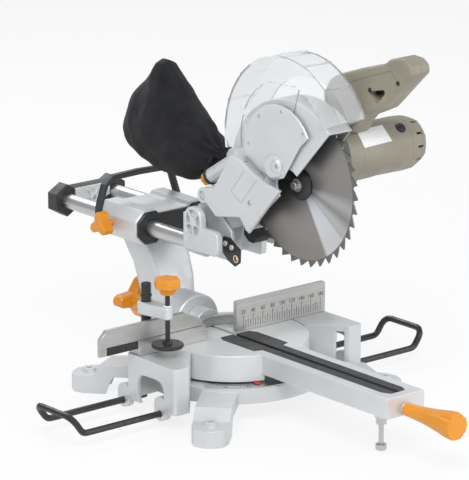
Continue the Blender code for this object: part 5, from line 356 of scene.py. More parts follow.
def disc_look(name, colour, centre):
    """Ground steel disc: rings about its axis, the sheen that turns with them, and wedges of painted
    highlight in its colour.
    """
    look = Look(name, colour, DISC_ROUGHNESS, 1.0)
    shifted = look.mapped((0, 1, 1), (0, -centre[0], -centre[1]))
    length = look.add("ShaderNodeVectorMath", operation="LENGTH")
    look.links.new(shifted, length.inputs[0])
    radius = length.outputs["Value"]
    rings = look.add("ShaderNodeTexNoise", noise_dimensions="1D")
    look.links.new(radius, rings.inputs["W"])
    rings.inputs["Scale"].default_value = DISC_RING_SCALE
    rings.inputs["Detail"].default_value = 4
    fine = rings.outputs["Fac"]
    split = look.add("ShaderNodeSeparateXYZ")
    look.links.new(shifted, split.inputs[0])
    angle = look.math("ARCTAN2", split.outputs["Z"], split.outputs["Y"])
    # Painted highlight: wedges of lighter colour about the arbor, each at its own angle.
    painted_sheen = None
    for middle, flat, foot, gain in DISC_PAINTED_SHEEN:
        off = look.math("ABSOLUTE", look.math("SUBTRACT", angle, middle))
        part = look.math("MULTIPLY", look.spread(off, 1, 0, flat, foot), gain)
        painted_sheen = part if painted_sheen is None else look.math("MAXIMUM", painted_sheen, part)
    ground = look.spread(radius, 1, 0, DISC_EDGE - DISC_EDGE_FADE, DISC_EDGE)
    dark, light = scaled(colour, DISC_DARK), scaled(colour, DISC_LIGHT)
    tone = look.blend(look.spread(fine, 0, 1), dark, light)
    tone = look.blend(ground, scaled(colour, DISC_TEETH_TONE), tone)
    # The painted highlight is blended over the disc's tone and left off the teeth.
    painted_shine = look.math("MULTIPLY", look.math("MULTIPLY", painted_sheen, ground), DISC_PAINTED_SHEEN_SHARE)
    look.into("Base Color", look.blend(painted_shine, tone, DISC_PAINTED_HIGHLIGHT))
    look.roughened(fine, DISC_ROUGHNESS, less=0.05, more=0.08)
    look.own("Anisotropic", DISC_ANISOTROPY)
    tangent = look.add("ShaderNodeTangent", direction_type="RADIAL", axis="X")
    look.into("Tangent", tangent.outputs[0])
    look.bump(fine, DISC_RING_DEPTH, strength=0.5)
    return look.material


CLEAR_COLOUR = (0.95, 0.96, 0.97)
CLEAR_ROUGHNESS = 0.05
CLEAR_TRANSMISSION = 0.84
CLEAR_IOR = 1.24
CLEAR_SCRATCHES = (300, 900, 120)
CLEAR_SMOOTH = 0.02
CLEAR_SCRATCHED = 0.12
CLEAR_RIPPLE_SCALE = 140
CLEAR_RIPPLE_DEPTH = 0.00006


def clear_look(name):
    """Clear guard plastic, faintly grey, with hair scratches."""
    look = Look(name, CLEAR_COLOUR, CLEAR_ROUGHNESS)
    look.own("Transmission Weight", CLEAR_TRANSMISSION)
    look.own("IOR", CLEAR_IOR)
    scratch = look.noise(1, detail=3, roughness=0.7, vector=look.mapped(CLEAR_SCRATCHES))
    look.into("Roughness", look.spread(scratch, CLEAR_SMOOTH, CLEAR_SCRATCHED, start=0.5, end=0.75))
    look.bump(look.noise(CLEAR_RIPPLE_SCALE, detail=2), CLEAR_RIPPLE_DEPTH, strength=0.25)
    return look.material


CLOTH_ROUGHNESS = 0.86
CLOTH_ROUGHNESS_SPAN = (0.78, 0.95)
CLOTH_PATCH_SCALE = 40
CLOTH_YARN_DIRECTIONS = ("X", "DIAGONAL")
CLOTH_YARN_SCALE = 260
CLOTH_YARN_WANDER = 0.8
CLOTH_YARN_DEPTH = 0.0003
CLOTH_DUST_SCALE = 55
CLOTH_DUST_TONE = 1.7
CLOTH_DARK = 0.6
CLOTH_LIGHT = 1.3
CLOTH_SHEEN = 0.05
CLOTH_SHEEN_ROUGHNESS = 0.5
CLOTH_RUMPLE_SCALE = 120
CLOTH_RUMPLE_DEPTH = 0.0008


def cloth_look(name, colour):
    """Black woven nylon: crossed yarns, dust in the weave, soft sheen."""
    look = Look(name, colour, CLOTH_ROUGHNESS)
    weave = []
    for direction in CLOTH_YARN_DIRECTIONS:
        wave = look.add("ShaderNodeTexWave", wave_type="BANDS", bands_direction=direction)
        wave.inputs["Scale"].default_value = CLOTH_YARN_SCALE
        wave.inputs["Distortion"].default_value = CLOTH_YARN_WANDER
        look.links.new(look.place, wave.inputs["Vector"])
        weave.append(wave.outputs["Fac"])
    yarn = look.math("MULTIPLY", *weave)
    specks = look.noise(CLOTH_DUST_SCALE, detail=5, roughness=0.7)
    dust = look.spread(specks, 0, 1, start=0.45, end=0.8)
    dark, light = scaled(colour, CLOTH_DARK), scaled(colour, CLOTH_LIGHT)
    tone = look.blend(look.spread(yarn, 0, 1, start=0, end=0.8), dark, light)
    look.into("Base Color", look.blend(dust, tone, scaled(colour, CLOTH_DUST_TONE)))
    patches = look.noise(CLOTH_PATCH_SCALE, detail=3)
    look.into("Roughness", look.spread(patches, *CLOTH_ROUGHNESS_SPAN))
    look.own("Sheen Weight", CLOTH_SHEEN)
    look.own("Sheen Roughness", CLOTH_SHEEN_ROUGHNESS)
    look.bump(yarn, CLOTH_YARN_DEPTH, strength=0.6)
    rumple = look.noise(CLOTH_RUMPLE_SCALE, detail=4, roughness=0.6)
    look.bump(rumple, CLOTH_RUMPLE_DEPTH, strength=0.35)
    return look.material


INK_SCALE = 900
INK_WORN_SHARE = 0.5
INK_WORN_TONE = 0.5
INK_WORN_GREY = 0.2


def plain_ink(name, colour, roughness=0.55):
    """A thin mark's colour, such as printed ink, slightly uneven."""
    look = Look(name, colour, roughness)
    worn = look.noise(INK_SCALE, detail=3, roughness=0.7)
    worn = look.spread(worn, 0, INK_WORN_SHARE, start=0.5, end=0.8)
    paler = tuple(INK_WORN_TONE * channel + INK_WORN_GREY for channel in colour)
    look.into("Base Color", look.blend(worn, colour, paler))
    return look.material


SILVER = (0.66, 0.672, 0.68)
TABLE_TONE = 1.05
FENCE_GREY = (0.52, 0.52, 0.50)
STEEL_GREY = (0.60, 0.60, 0.60)
BLADE_GREY = (0.33, 0.322, 0.312)
OLIVE = (0.285, 0.255, 0.195)
ORANGE = (0.80, 0.30, 0.018)
BLACK = (0.022, 0.022, 0.023)
DARK_GREY = (0.030, 0.031, 0.032)
WHITE = (0.86, 0.86, 0.85)
RED = (0.62, 0.045, 0.035)
RUBBER_BLACK = (0.028, 0.027, 0.027)
PAINT_BLACK = (0.020, 0.020, 0.021)
COPPER = (0.62, 0.27, 0.12)
CLOTH_BLACK = (0.0055, 0.006, 0.0075)
INK_BLACK = (0.03, 0.03, 0.03)
BRASS = (0.72, 0.56, 0.38)
# Painted shade for the joint lines: darker copies of the silver and the olive.
SHADOW_SILVER = (0.30, 0.305, 0.31)
SHADOW_OLIVE = (0.10, 0.088, 0.066)
FENCE_STREAKS = (6, 500, 420)
STEEL_STREAKS = (700, 8, 700)
COPPER_STREAKS = (400, 60, 60)
RUBBER_GRAIN_SCALE = 900
RUBBER_GRAIN_DEPTH = 0.00016
RED_CORNER = 0.0003
ARBOR = (-0.160, 0.373)

LOOKS = {
    "cast_silver": cast_look("cast_silver", SILVER),
    "table_silver": cast_look("table_silver", scaled(SILVER, TABLE_TONE), roughness=0.38),
    "fence_steel": brushed_look("fence_steel", FENCE_GREY, FENCE_STREAKS, 0.40, metallic=0.75),
    "steel": brushed_look("steel", STEEL_GREY, STEEL_STREAKS, 0.36),
    "blade_steel": disc_look("blade_steel", BLADE_GREY, ARBOR),
    "olive_plastic": moulded_look("olive_plastic", OLIVE, 0.46),
    "orange_plastic": moulded_look("orange_plastic", ORANGE, 0.33, wear=1.1, vary=0.06),
    "black_plastic": moulded_look("black_plastic", BLACK, 0.42, wear=2.2, vary=0.2),
    "grey_plastic": moulded_look("grey_plastic", DARK_GREY, 0.5, wear=1.6, vary=0.15),
    "white_plastic": moulded_look("white_plastic", WHITE, 0.4, wear=1.05, vary=0.05),
    "red_plastic": moulded_look("red_plastic", RED, 0.35, wear=1.1, corner=RED_CORNER),
    "rubber": moulded_look(
        "rubber", RUBBER_BLACK, 0.62, RUBBER_GRAIN_SCALE, RUBBER_GRAIN_DEPTH, wear=1.6
    ),
    "black_metal": painted_look("black_metal", PAINT_BLACK, 0.34),
    "copper": brushed_look("copper", COPPER, COPPER_STREAKS, 0.35),
    "clear_plastic": clear_look("clear_plastic"),
    "cloth": cloth_look("cloth", CLOTH_BLACK),
}
INK = plain_ink("ink", INK_BLACK)


# The CAD nodes take their slot's look, and their facets are shaded as the curves they stand for.

SMOOTH_ANGLE = 32
POINTS_PER_METRE = 50000


def point_key(mesh, index):
    """One key for all the corners that meet in a point."""
    return tuple(round(c * POINTS_PER_METRE) for c in mesh.vertices[index].co)


def shade_curves(mesh):
    """Sets normals that run smoothly over facets meeting under an angle; no vertex is moved."""
    limit = math.cos(math.radians(SMOOTH_ANGLE))
    at_point = {}
    for face in mesh.polygons:
        for index in face.vertices:
            at_point.setdefault(point_key(mesh, index), []).append((face.normal.copy(), face.area))
    normals = []
    for face in mesh.polygons:
        for index in face.vertices:
            total = Vector((0, 0, 0))
            for normal, area in at_point[point_key(mesh, index)]:
                if normal.dot(face.normal) > limit:
                    total += normal * area
            normals.append(total.normalized() if total.length > 0 else face.normal)
    mesh.shade_smooth()
    mesh.normals_split_custom_set(normals)


for part in frame["record"]["subparts"]:
    node = frame["nodes"][part["node"]]
    node.data.materials.clear()
    node.data.materials.append(LOOKS[part["material_slot"]])
    shade_curves(node.data)

# The levelling screw is bright zinc.

levelling = frame["nodes"]["levelling_screw"].data
levelling.materials.clear()
levelling.materials.append(LOOKS["steel"])

# The gear case behind the blade is painted like the motor, and the stop bracket's bolts are bright.

GEAR_CASE_X = 0.030
GEAR_CASE_Y = -0.09
GEAR_CASE_Z = 0.31
BRACKET_FACE_X = -0.0404
BRACKET_FACE_SLACK = 0.0002
BOLT_RISE = 0.0005


def on_gear_case(corners):
    """Whether a face of the upper guard belongs to the gear case."""
    middle = sum(corners, Vector((0, 0, 0))) / len(corners)
    return middle.x > GEAR_CASE_X and middle.y < GEAR_CASE_Y and middle.z > GEAR_CASE_Z


def on_bolt(corners):
    """Whether a face of the stop bracket stands proud of its plate."""
    places = [corner.x for corner in corners]
    near = max(places) < BRACKET_FACE_X + BRACKET_FACE_SLACK
    return near and min(places) < BRACKET_FACE_X - BOLT_RISE


def second_look(name, look, chosen):
    """Gives the chosen faces of a node another look."""
    mesh = frame["nodes"][name].data
    mesh.materials.append(LOOKS[look])
    for face in mesh.polygons:
        if chosen([mesh.vertices[i].co for i in face.vertices]):
            face.material_index = 1


second_look("upper_guard", "olive_plastic", on_gear_case)
second_look("stop_bracket", "cast_silver", on_bolt)


# Small shared shapes.

CAPITAL_SHARE = 0.73
LETTER_THICKNESS = 0.0001
LETTER_RESOLUTION = 3
UPRIGHT = 0.9


def make(name, mesh, look, body):
    """A new piece in the part's own coordinates, riding on a body."""
    piece = bpy.data.objects.new(name, mesh)
    bpy.context.scene.collection.objects.link(piece)
    mesh.materials.append(look)
    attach(piece, body)
    return piece


def joined(parts):
    """One mesh from several pairs of points and faces."""
    points, faces = [], []
    for part_points, part_faces in parts:
        start = len(points)
        points += part_points
        faces += [[start + i for i in face] for face in part_faces]
    mesh = bpy.data.meshes.new("joined")
    mesh.from_pydata([tuple(p) for p in points], [], faces)
    mesh.update()
    return mesh


def slab(corner, along, across, up):
    """A thin block on three edges from a corner, as points and faces."""
    square = ((0, 0), (0, 1), (1, 1), (1, 0))
    points = [corner + along * u + across * v + up * w for w in (0, 1) for v, u in square]
    faces = [[3, 2, 1, 0], [4, 5, 6, 7], [0, 1, 5, 4], [1, 2, 6, 5], [2, 3, 7, 6], [3, 0, 4, 7]]
    return points, faces


def lettering(text, height, place, along, upward):
    """Raised numerals that stand centred on a place, as points and faces."""
    curve = bpy.data.curves.new("text", "FONT")
    curve.body = text
    curve.size = height / CAPITAL_SHARE
    curve.extrude = LETTER_THICKNESS / 2
    curve.resolution_u = LETTER_RESOLUTION
    curve.align_x = "CENTER"
    text_object = bpy.data.objects.new("text", curve)
    mesh = bpy.data.meshes.new_from_object(text_object)
    out = along.cross(upward)
    points = []
    for vert in mesh.vertices:
        x, y, z = vert.co
        points.append(place + along * x + upward * y + out * (z + LETTER_THICKNESS / 2))
    faces = [list(face.vertices) for face in mesh.polygons]
    bpy.data.objects.remove(text_object)
    bpy.data.curves.remove(curve)
    return points, faces


def frame_of(axis):
    """Two directions square to an axis."""
    axis = axis.normalized()
    other = Vector((0, 0, 1)) if abs(axis.z) < UPRIGHT else Vector((0, 1, 0))
    side = axis.cross(other).normalized()
    return side, axis.cross(side)


def circles(centre, axis, outline, sides):
    """The points of a turned shape about an axis, one circle for each (radius, height) pair."""
    axis = axis.normalized()
    u, v = frame_of(axis)
    points = []
    for radius, height in outline:
        for i in range(sides):
            turn = math.tau * i / sides
            out = u * math.cos(turn) + v * math.sin(turn)
            points.append(centre + axis * height + out * radius)
    return points


def band(low, high, sides):
    """The faces between two circles of points that start at low and at high."""
    faces = []
    for i in range(sides):
        j = (i + 1) % sides
        faces.append([low + i, low + j, high + j, high + i])
    return faces


def lathe(centre, axis, outline, sides):
    """A solid turned shape about an axis, as points and faces."""
    faces = []
    for row in range(len(outline) - 1):
        faces += band(row * sides, (row + 1) * sides, sides)
    faces.append(list(range(sides))[::-1])
    faces.append([(len(outline) - 1) * sides + i for i in range(sides)])
    return circles(centre, axis, outline, sides), faces


def ring(centre, axis, outline, sides):
    """A turned ring about an axis, its outline closed, as points and faces."""
    faces = []
    for row in range(len(outline)):
        faces += band(row * sides, (row + 1) % len(outline) * sides, sides)
    return circles(centre, axis, outline, sides), faces


def subtracted(mesh, cutter):
    """One mesh less another, as points and faces."""
    body = bpy.data.objects.new("body", mesh)
    tool = bpy.data.objects.new("tool", cutter)
    for thing in (body, tool):
        bpy.context.scene.collection.objects.link(thing)
    change = body.modifiers.new("cut", "BOOLEAN")
    change.operation = "DIFFERENCE"
    change.solver = "EXACT"
    change.object = tool
    bpy.context.view_layer.update()
    graph = bpy.context.evaluated_depsgraph_get()
    result = bpy.data.meshes.new_from_object(body.evaluated_get(graph))
    points = [v.co.copy() for v in result.vertices]
    faces = [list(face.vertices) for face in result.polygons]
    bpy.data.objects.remove(body)
    bpy.data.objects.remove(tool)
    return points, faces


# Places on the part, found along the camera's line of sight.

TREES = {}


def tree_of(node):
    """A node's faces, sorted for casting lines on them."""
    if node not in TREES:
        mesh = frame["nodes"][node].data
        TREES[node] = BVHTree.FromPolygons(
            [v.co.copy() for v in mesh.vertices], [list(face.vertices) for face in mesh.polygons]
        )
    return TREES[node]


def seen_on(node, x, y):
    """The point and outward normal of a node at a place in the photograph's frame."""
    across, up = x - PICTURE_WIDTH / 2, PICTURE_HEIGHT / 2 - y
    ahead = Vector((across / FOCAL_PIXELS, up / FOCAL_PIXELS, -1))
    direction = camera.matrix_world.to_3x3() @ ahead
    point, normal, _, _ = tree_of(node).ray_cast(camera.location, direction.normalized())
    if point is None:
        raise ValueError(f"no point found on {node}")
    return point, normal if normal.dot(direction) < 0 else -normal


# The ruler on the right-hand fence.

TABLE_RISE = 0.100
MARK_LIFT = 0.00015
MILLIMETRE = 0.001
RULER_FIRST = 20
RULER_LAST = 180
RULER_STEP = 5
RULER_MEDIUM_STEP = 10
RULER_LONG_STEP = 20
RULER_FOOT = 0.0046
RULER_LONG = 0.0210
RULER_MEDIUM = 0.0155
RULER_SHORT = 0.0120
RULER_LINE = 0.0007
RULER_NUMERAL_FOOT = 0.0282
RULER_NUMERAL_HEIGHT = 0.0066


def fence_ruler():
    """Printed lines every 5 mm, with a number at each long one."""
    right, upward, out = Vector((1, 0, 0)), Vector((0, 0, 1)), Vector((0, -1, 0))
    parts = []
    for value in range(RULER_FIRST, RULER_LAST + 1, RULER_STEP):
        length = RULER_SHORT
        if value % RULER_LONG_STEP == 0:
            length = RULER_LONG
            foot = Vector((value * MILLIMETRE, 0, TABLE_RISE + RULER_NUMERAL_FOOT))
            parts.append(lettering(str(value), RULER_NUMERAL_HEIGHT, foot, right, upward))
        elif value % RULER_MEDIUM_STEP == 0:
            length = RULER_MEDIUM
        corner = Vector((value * MILLIMETRE - RULER_LINE / 2, 0, TABLE_RISE + RULER_FOOT))
        parts.append(slab(corner, upward * length, right * RULER_LINE, out * MARK_LIFT))
    make("fence_ruler", joined(parts), INK, "base")


# Degree marks on the mitre scale.

SCALE_REACH = 52
SCALE_FRONT = -90
SCALE_MEDIUM_STEP = 5
SCALE_LONG_STEP = 15
SCALE_INNER = 0.1235
SCALE_LONG = 0.0075
SCALE_MEDIUM = 0.0065
SCALE_SHORT = 0.0045
SCALE_LINE = 0.0009
SCALE_NUMERAL_FOOT = 0.1378
SCALE_NUMERAL_HEIGHT = 0.0060


def mitre_marks():
    """A line for each degree, with a number at each long one."""
    _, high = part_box("mitre_scale_plate")
    parts = []
    for degree in range(-SCALE_REACH, SCALE_REACH + 1):
        turn = math.radians(degree + SCALE_FRONT)
        outward = Vector((math.cos(turn), math.sin(turn), 0))
        side = Vector((-outward.y, outward.x, 0))
        length = SCALE_SHORT
        if degree % SCALE_LONG_STEP == 0:
            length = SCALE_LONG
        elif degree % SCALE_MEDIUM_STEP == 0:
            length = SCALE_MEDIUM
        corner = outward * SCALE_INNER - side * SCALE_LINE / 2
        corner.z = high.z
        parts.append(slab(corner, outward * length, side * SCALE_LINE, Vector((0, 0, MARK_LIFT))))
        if degree % SCALE_LONG_STEP == 0:
            foot = outward * SCALE_NUMERAL_FOOT
            foot.z = high.z
            parts.append(lettering(str(abs(degree)), SCALE_NUMERAL_HEIGHT, foot, side, -outward))
    make("mitre_scale_marks", joined(parts), INK, "base")


fence_ruler()
mitre_marks()


# The dust bag: cloth, blown out a little, slack enough to crease, gathered on the neck.

BAG_WELD = 0.00002
BAG_VOXEL = 0.0055
BAG_SHRUNK = 0.0030
BAG_MOUTH = 0.012
BAG_STEPS = 20
BAG_MOVE = 0.011
BAG_GRIP = 0.024
BAG_GRAVITY = 0.25
BAG_CLOTH = {
    "quality": 6,
    "mass": 0.25,
    "tension_stiffness": 12,
    "compression_stiffness": 12,
    "shear_stiffness": 4,
    "bending_stiffness": 0.35,
    "use_pressure": True,
    "uniform_pressure_force": 0.9,
    "shrink_min": -0.09,
    "vertex_group_mass": "held",
}
BAG_CENTRE_X = 0.016
BAG_TOP = (
    (0.011, 0.395),
    (0.033, 0.402),
    (0.059, 0.420),
    (0.100, 0.452),
    (0.148, 0.496),
    (0.176, 0.520),
    (0.196, 0.519),
    (0.2625, 0.462),
    (0.297, 0.400),
)
BAG_STATIONS = 25
BAG_NEAR = 1.5
BAG_RIDGE = 0.34
BAG_RIDGE_START = 0.45
BAG_FOLDS = 9
BAG_FOLD_REACH = 0.055
BAG_FOLD_SPAN = 0.035
BAG_FOLD_DEPTH = 0.0028
BAG_FOLD_TWIST = 40
BAG_FANS = 22
BAG_FAN_DEPTH = 0.0011
BAG_FAN_TWIST = 25
BAG_SIDE_REACH = 0.10
BAG_SIDE_SPAN = 0.05
BAG_CREASE = 0.0030
BAG_CREASE_SCALES = (26, 19)
BAG_RIPPLE_SCALE = 60
BAG_RIPPLE_SHARE = 0.4
SMALLEST = 1e-9


def applied(thing):
    """Fixes the object's modifiers in its mesh."""
    bpy.context.view_layer.update()
    graph = bpy.context.evaluated_depsgraph_get()
    mesh = bpy.data.meshes.new_from_object(thing.evaluated_get(graph), depsgraph=graph)
    thing.modifiers.clear()
    thing.data = mesh


def bag_shape():
    """A welded copy of the bag's solid, drawn in a little, in even cells."""
    source = bmesh.new()
    source.from_mesh(frame["nodes"]["dust_bag"].data)
    bmesh.ops.remove_doubles(source, verts=source.verts, dist=BAG_WELD)
    source.normal_update()
    for vert in source.verts:
        vert.co -= vert.normal * BAG_SHRUNK
    mesh = bpy.data.meshes.new("dust_bag_cloth")
    source.to_mesh(mesh)
    source.free()
    bag = bpy.data.objects.new("dust_bag_cloth", mesh)
    bpy.context.scene.collection.objects.link(bag)
    cells = bag.modifiers.new("cells", "REMESH")
    cells.mode = "VOXEL"
    cells.voxel_size = BAG_VOXEL
    applied(bag)
    return bag


def bag_neck():
    """The middle of the bag's mouth."""
    low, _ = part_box("dust_bag")
    points = [v.co for v in frame["nodes"]["dust_bag"].data.vertices]
    mouth = [p for p in points if p.y < low.y + BAG_MOUTH]
    return sum(mouth, Vector((0, 0, 0))) / len(mouth)


def outline_at(profile, y):
    """Height of a profile of (y, z) points at one y."""
    return float(np.interp(y, [p[0] for p in profile], [p[1] for p in profile]))


def form_bag(bag):
    """Straightens the bag's upper side to one high corner and narrows its ridge."""
    places = np.array([v.co for v in bag.data.vertices])
    stations = np.linspace(places[:, 1].min(), places[:, 1].max(), BAG_STATIONS)
    tops, feet = [], []
    for station in stations:
        near = places[np.abs(places[:, 1] - station) < BAG_NEAR * BAG_VOXEL, 2]
        tops.append((station, near.max()))
        feet.append((station, near.min()))
    for vert in bag.data.vertices:
        place = vert.co
        top, foot = outline_at(tops, place.y), outline_at(feet, place.y)
        share = (place.z - foot) / max(top - foot, BAG_VOXEL)
        wanted = outline_at(BAG_TOP, place.y)
        narrowed = 1 - BAG_RIDGE * max(share - BAG_RIDGE_START, 0) / (1 - BAG_RIDGE_START)
        height = foot + (wanted - foot) * share
        vert.co = Vector((BAG_CENTRE_X + (place.x - BAG_CENTRE_X) * narrowed, place.y, height))
    bag.data.update()


def simulate_bag(bag, middle):
    """Lets the cloth settle under a little air, held by its neck, and limits how far it moves."""
    held = bag.vertex_groups.new(name="held")
    for vert in bag.data.vertices:
        reach = (vert.co - middle).length
        grip = 1 - min(max((reach - BAG_GRIP) / BAG_GRIP, 0), 1)
        held.add([vert.index], grip, "REPLACE")
    start = np.array([v.co for v in bag.data.vertices])
    cloth = bag.modifiers.new("cloth", "CLOTH")
    for key, value in BAG_CLOTH.items():
        setattr(cloth.settings, key, value)
    cloth.settings.effector_weights.gravity = BAG_GRAVITY
    cloth.collision_settings.use_collision = False
    scene = bpy.context.scene
    for step in range(1, BAG_STEPS + 1):
        scene.frame_set(step)
    applied(bag)
    moved = np.array([v.co for v in bag.data.vertices]) - start
    far = np.linalg.norm(moved, axis=1, keepdims=True)
    moved *= np.minimum(1, BAG_MOVE / np.maximum(far, SMALLEST))
    for vert, place in zip(bag.data.vertices, start + moved):
        vert.co = place
    bag.vertex_groups.clear()
    scene.frame_set(1)


def hump(value, middle, span):
    """1 at the middle, falling to 0 on both sides."""
    return math.exp(-(((value - middle) / span) ** 2))


def crease_bag(bag, middle):
    """Gathers that fan out from the neck, and slack creases across the sides."""
    lengthwise, upright = BAG_CREASE_SCALES
    normals = [v.normal.copy() for v in bag.data.vertices]
    for vert, normal in zip(bag.data.vertices, normals):
        place = vert.co
        away = place - middle
        far = away.length
        turn = math.atan2(away.z, away.x)
        fan = math.atan2(away.z, away.y)
        fold = hump(far, BAG_FOLD_REACH, BAG_FOLD_SPAN)
        depth = BAG_FOLD_DEPTH * fold * math.cos(BAG_FOLDS * turn + BAG_FOLD_TWIST * far)
        side = hump(far, BAG_SIDE_REACH, BAG_SIDE_SPAN)
        depth += BAG_FAN_DEPTH * side * math.sin(BAG_FANS * fan + BAG_FAN_TWIST * far)
        wave = noise.noise(Vector((0, place.y * lengthwise, place.z * upright)))
        wave += noise.noise(place * BAG_RIPPLE_SCALE) * BAG_RIPPLE_SHARE
        vert.co = place + normal * (depth + BAG_CREASE * wave - BAG_CREASE)
    bag.data.update()


def make_bag():
    """The cloth bag in the place of its solid."""
    bag = bag_shape()
    middle = bag_neck()
    form_bag(bag)
    simulate_bag(bag, middle)
    crease_bag(bag, middle)
    smooth = bag.modifiers.new("smooth", "SUBSURF")
    smooth.levels = 1
    smooth.render_levels = 1
    applied(bag)
    bag.data.materials.clear()
    bag.data.materials.append(LOOKS["cloth"])
    bag.data.shade_smooth()
    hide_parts("dust_bag")
    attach(bag, "head")


make_bag()


# Screws, each on the face that carries it: the node, its place in the photograph, its radius.

SCREW_SIDES = 24
SCREW_RISE = 0.45
SCREW_PROFILE = ((1, -0.4), (1, 0.25), (0.9, 0.65), (0.6, 0.93), (0.45, 1))
CROSS_REACH = 0.52
CROSS_WIDTH = 0.13
CROSS_DEPTH = 0.55
CROSS_ROOT = 1.05
CROSS_LOW = 0.7
CROSS_HIGH = 1.25
SIDE_COVER_SCREWS = (
    ("guard_side_cover", 259, 116, 0.0024),
    ("guard_side_cover", 281, 112, 0.0024),
    ("guard_side_cover", 248.5, 143, 0.0024),
    ("guard_side_cover", 303, 134, 0.0024),
    ("guard_side_cover", 276.5, 166.5, 0.0036),
)
HEAD_SCREWS = (("upper_guard", 263.5, 177.5, 0.0036), ("upper_guard", 249.5, 203, 0.0040))
HANDLE_SCREWS = (("handle_shell_left", 370, 90, 0.0036), ("handle_shell_left", 398, 83.5, 0.0036))


def cross_screw(centre, axis, radius):
    """A raised screw head with a cross recess, standing on a face."""
    height = radius * SCREW_RISE
    outline = [(radius * out, height * up) for out, up in SCREW_PROFILE]
    points, faces = lathe(centre, axis, outline, SCREW_SIDES)
    head = bmesh.new()
    verts = [head.verts.new(p) for p in points]
    for face in faces:
        head.faces.new([verts[i] for i in face])
    head_mesh = bpy.data.meshes.new("head")
    head.to_mesh(head_mesh)
    head.free()
    u, v = frame_of(axis)
    axis = axis.normalized()
    arm, wide, deep = radius * CROSS_REACH, radius * CROSS_WIDTH, height * CROSS_DEPTH
    corners = []
    for quarter in range(4):
        turn = quarter * math.pi / 2
        ahead = (u * math.cos(turn) + v * math.sin(turn)).normalized()
        side = axis.cross(ahead)
        corners += [
            ahead * arm - side * wide,
            ahead * arm + side * wide,
            (ahead + side) * wide * CROSS_ROOT,
        ]
    low = [centre + axis * (height - deep) + corner * CROSS_LOW for corner in corners]
    high = [centre + axis * (height + deep) + corner * CROSS_HIGH for corner in corners]
    count = len(corners)
    ends = [list(range(count))[::-1], list(range(count, 2 * count))]
    cutter = bpy.data.meshes.new("cutter")
    cutter.from_pydata([tuple(p) for p in low + high], [], band(0, count, count) + ends)
    return subtracted(head_mesh, cutter)


def screws(name, body, spots, look):
    """Cross-headed screws in one piece."""
    parts = []
    for node, x, y, radius in spots:
        point, normal = seen_on(node, x, y)
        parts.append(cross_screw(point, normal, radius))
    mesh = joined(parts)
    mesh.shade_smooth()
    mesh.set_sharp_from_angle(angle=math.radians(SMOOTH_ANGLE))
    make(name, mesh, LOOKS[look], body)


screws("side_cover_screws", "head", SIDE_COVER_SCREWS, "steel")
screws("head_screws", "head", HEAD_SCREWS, "steel")
screws("handle_screws", "head", HANDLE_SCREWS, "black_metal")


# The brass ring round the stop bracket's hole.

BRACKET_HOLE_Y = -0.054
BRACKET_HOLE_Z = 0.240
RING_INNER = 0.0041
RING_OUTER = 0.0060
RING_RISE = 0.0004
RING_SIDES = 32
RING_ROUGHNESS = 0.35


def bracket_ring():
    """A flat ring, sunk halfway into the bracket's face."""
    centre = Vector((BRACKET_FACE_X, BRACKET_HOLE_Y, BRACKET_HOLE_Z))
    outline = (
        (RING_INNER, -RING_RISE),
        (RING_OUTER, -RING_RISE),
        (RING_OUTER, RING_RISE),
        (RING_INNER, RING_RISE),
    )
    mesh = joined([ring(centre, Vector((-1, 0, 0)), outline, RING_SIDES)])
    brass = plain_ink("brass", BRASS, RING_ROUGHNESS)
    make("stop_bracket_ring", mesh, brass, "carriage")


bracket_ring()


# Joint lines of the casting and of the handle's shells, in painted shade, along corners in the
# photograph's frame.

SEAM_STEP = 3
SEAM_LIFT = 0.00012
SEAM_LEAST = 0.0002
SEAM_MOST = 0.012
SEAM_WIDTH = 0.0007
SEAM_ROUGHNESS = 0.6
HUB_X = 276.5
HUB_Y = 166.5
HUB_HALF_WIDTH = 5.6
HUB_HALF_HEIGHT = 7.2
HUB_STEPS = 16
HUB_SEAM_WIDTH = 0.0006
HANDLE_SEAMS = (((348, 83), (367, 77), (391, 71)), ((391, 71), (395, 79)))
ARM_SEAMS = (((231, 191), (244, 171)), ((231, 191), (241, 203), (262, 172)))
# Painted shade: darker silver and olive stand for the shade in the joints.
JOINT_SHADE_SILVER = plain_ink("shadow_silver", SHADOW_SILVER, SEAM_ROUGHNESS)
JOINT_SHADE_OLIVE = plain_ink("shadow_olive", SHADOW_OLIVE, SEAM_ROUGHNESS)


def seam_trail(node, corners):
    """Points and normals along a line of corners on a node's face."""
    trail = []
    for (x0, y0), (x1, y1) in zip(corners, corners[1:]):
        count = max(2, round(math.hypot(x1 - x0, y1 - y0) / SEAM_STEP))
        for i in range(count + 1):
            share = i / count
            trail.append(seen_on(node, x0 + (x1 - x0) * share, y0 + (y1 - y0) * share))
    return trail


def seam(name, body, node, lines, width, look):
    """Thin raised lines of painted shade that follow a node's face."""
    parts = []
    for corners in lines:
        trail = seam_trail(node, corners)
        for (start, normal), (end, _) in zip(trail, trail[1:]):
            along = end - start
            if along.length < SEAM_LEAST or along.length > SEAM_MOST:
                continue
            across = normal.cross(along).normalized() * width
            corner = start - across / 2 - normal * SEAM_LIFT
            parts.append(slab(corner, along, across, normal * 2 * SEAM_LIFT))
    make(name, joined(parts), look, body)


def hub_outline():
    """The cover's hub, an oval in the photograph."""
    corners = []
    for step in range(HUB_STEPS + 1):
        turn = step * math.tau / HUB_STEPS
        x = HUB_X + HUB_HALF_WIDTH * math.cos(turn)
        corners.append((x, HUB_Y + HUB_HALF_HEIGHT * math.sin(turn)))
    return corners


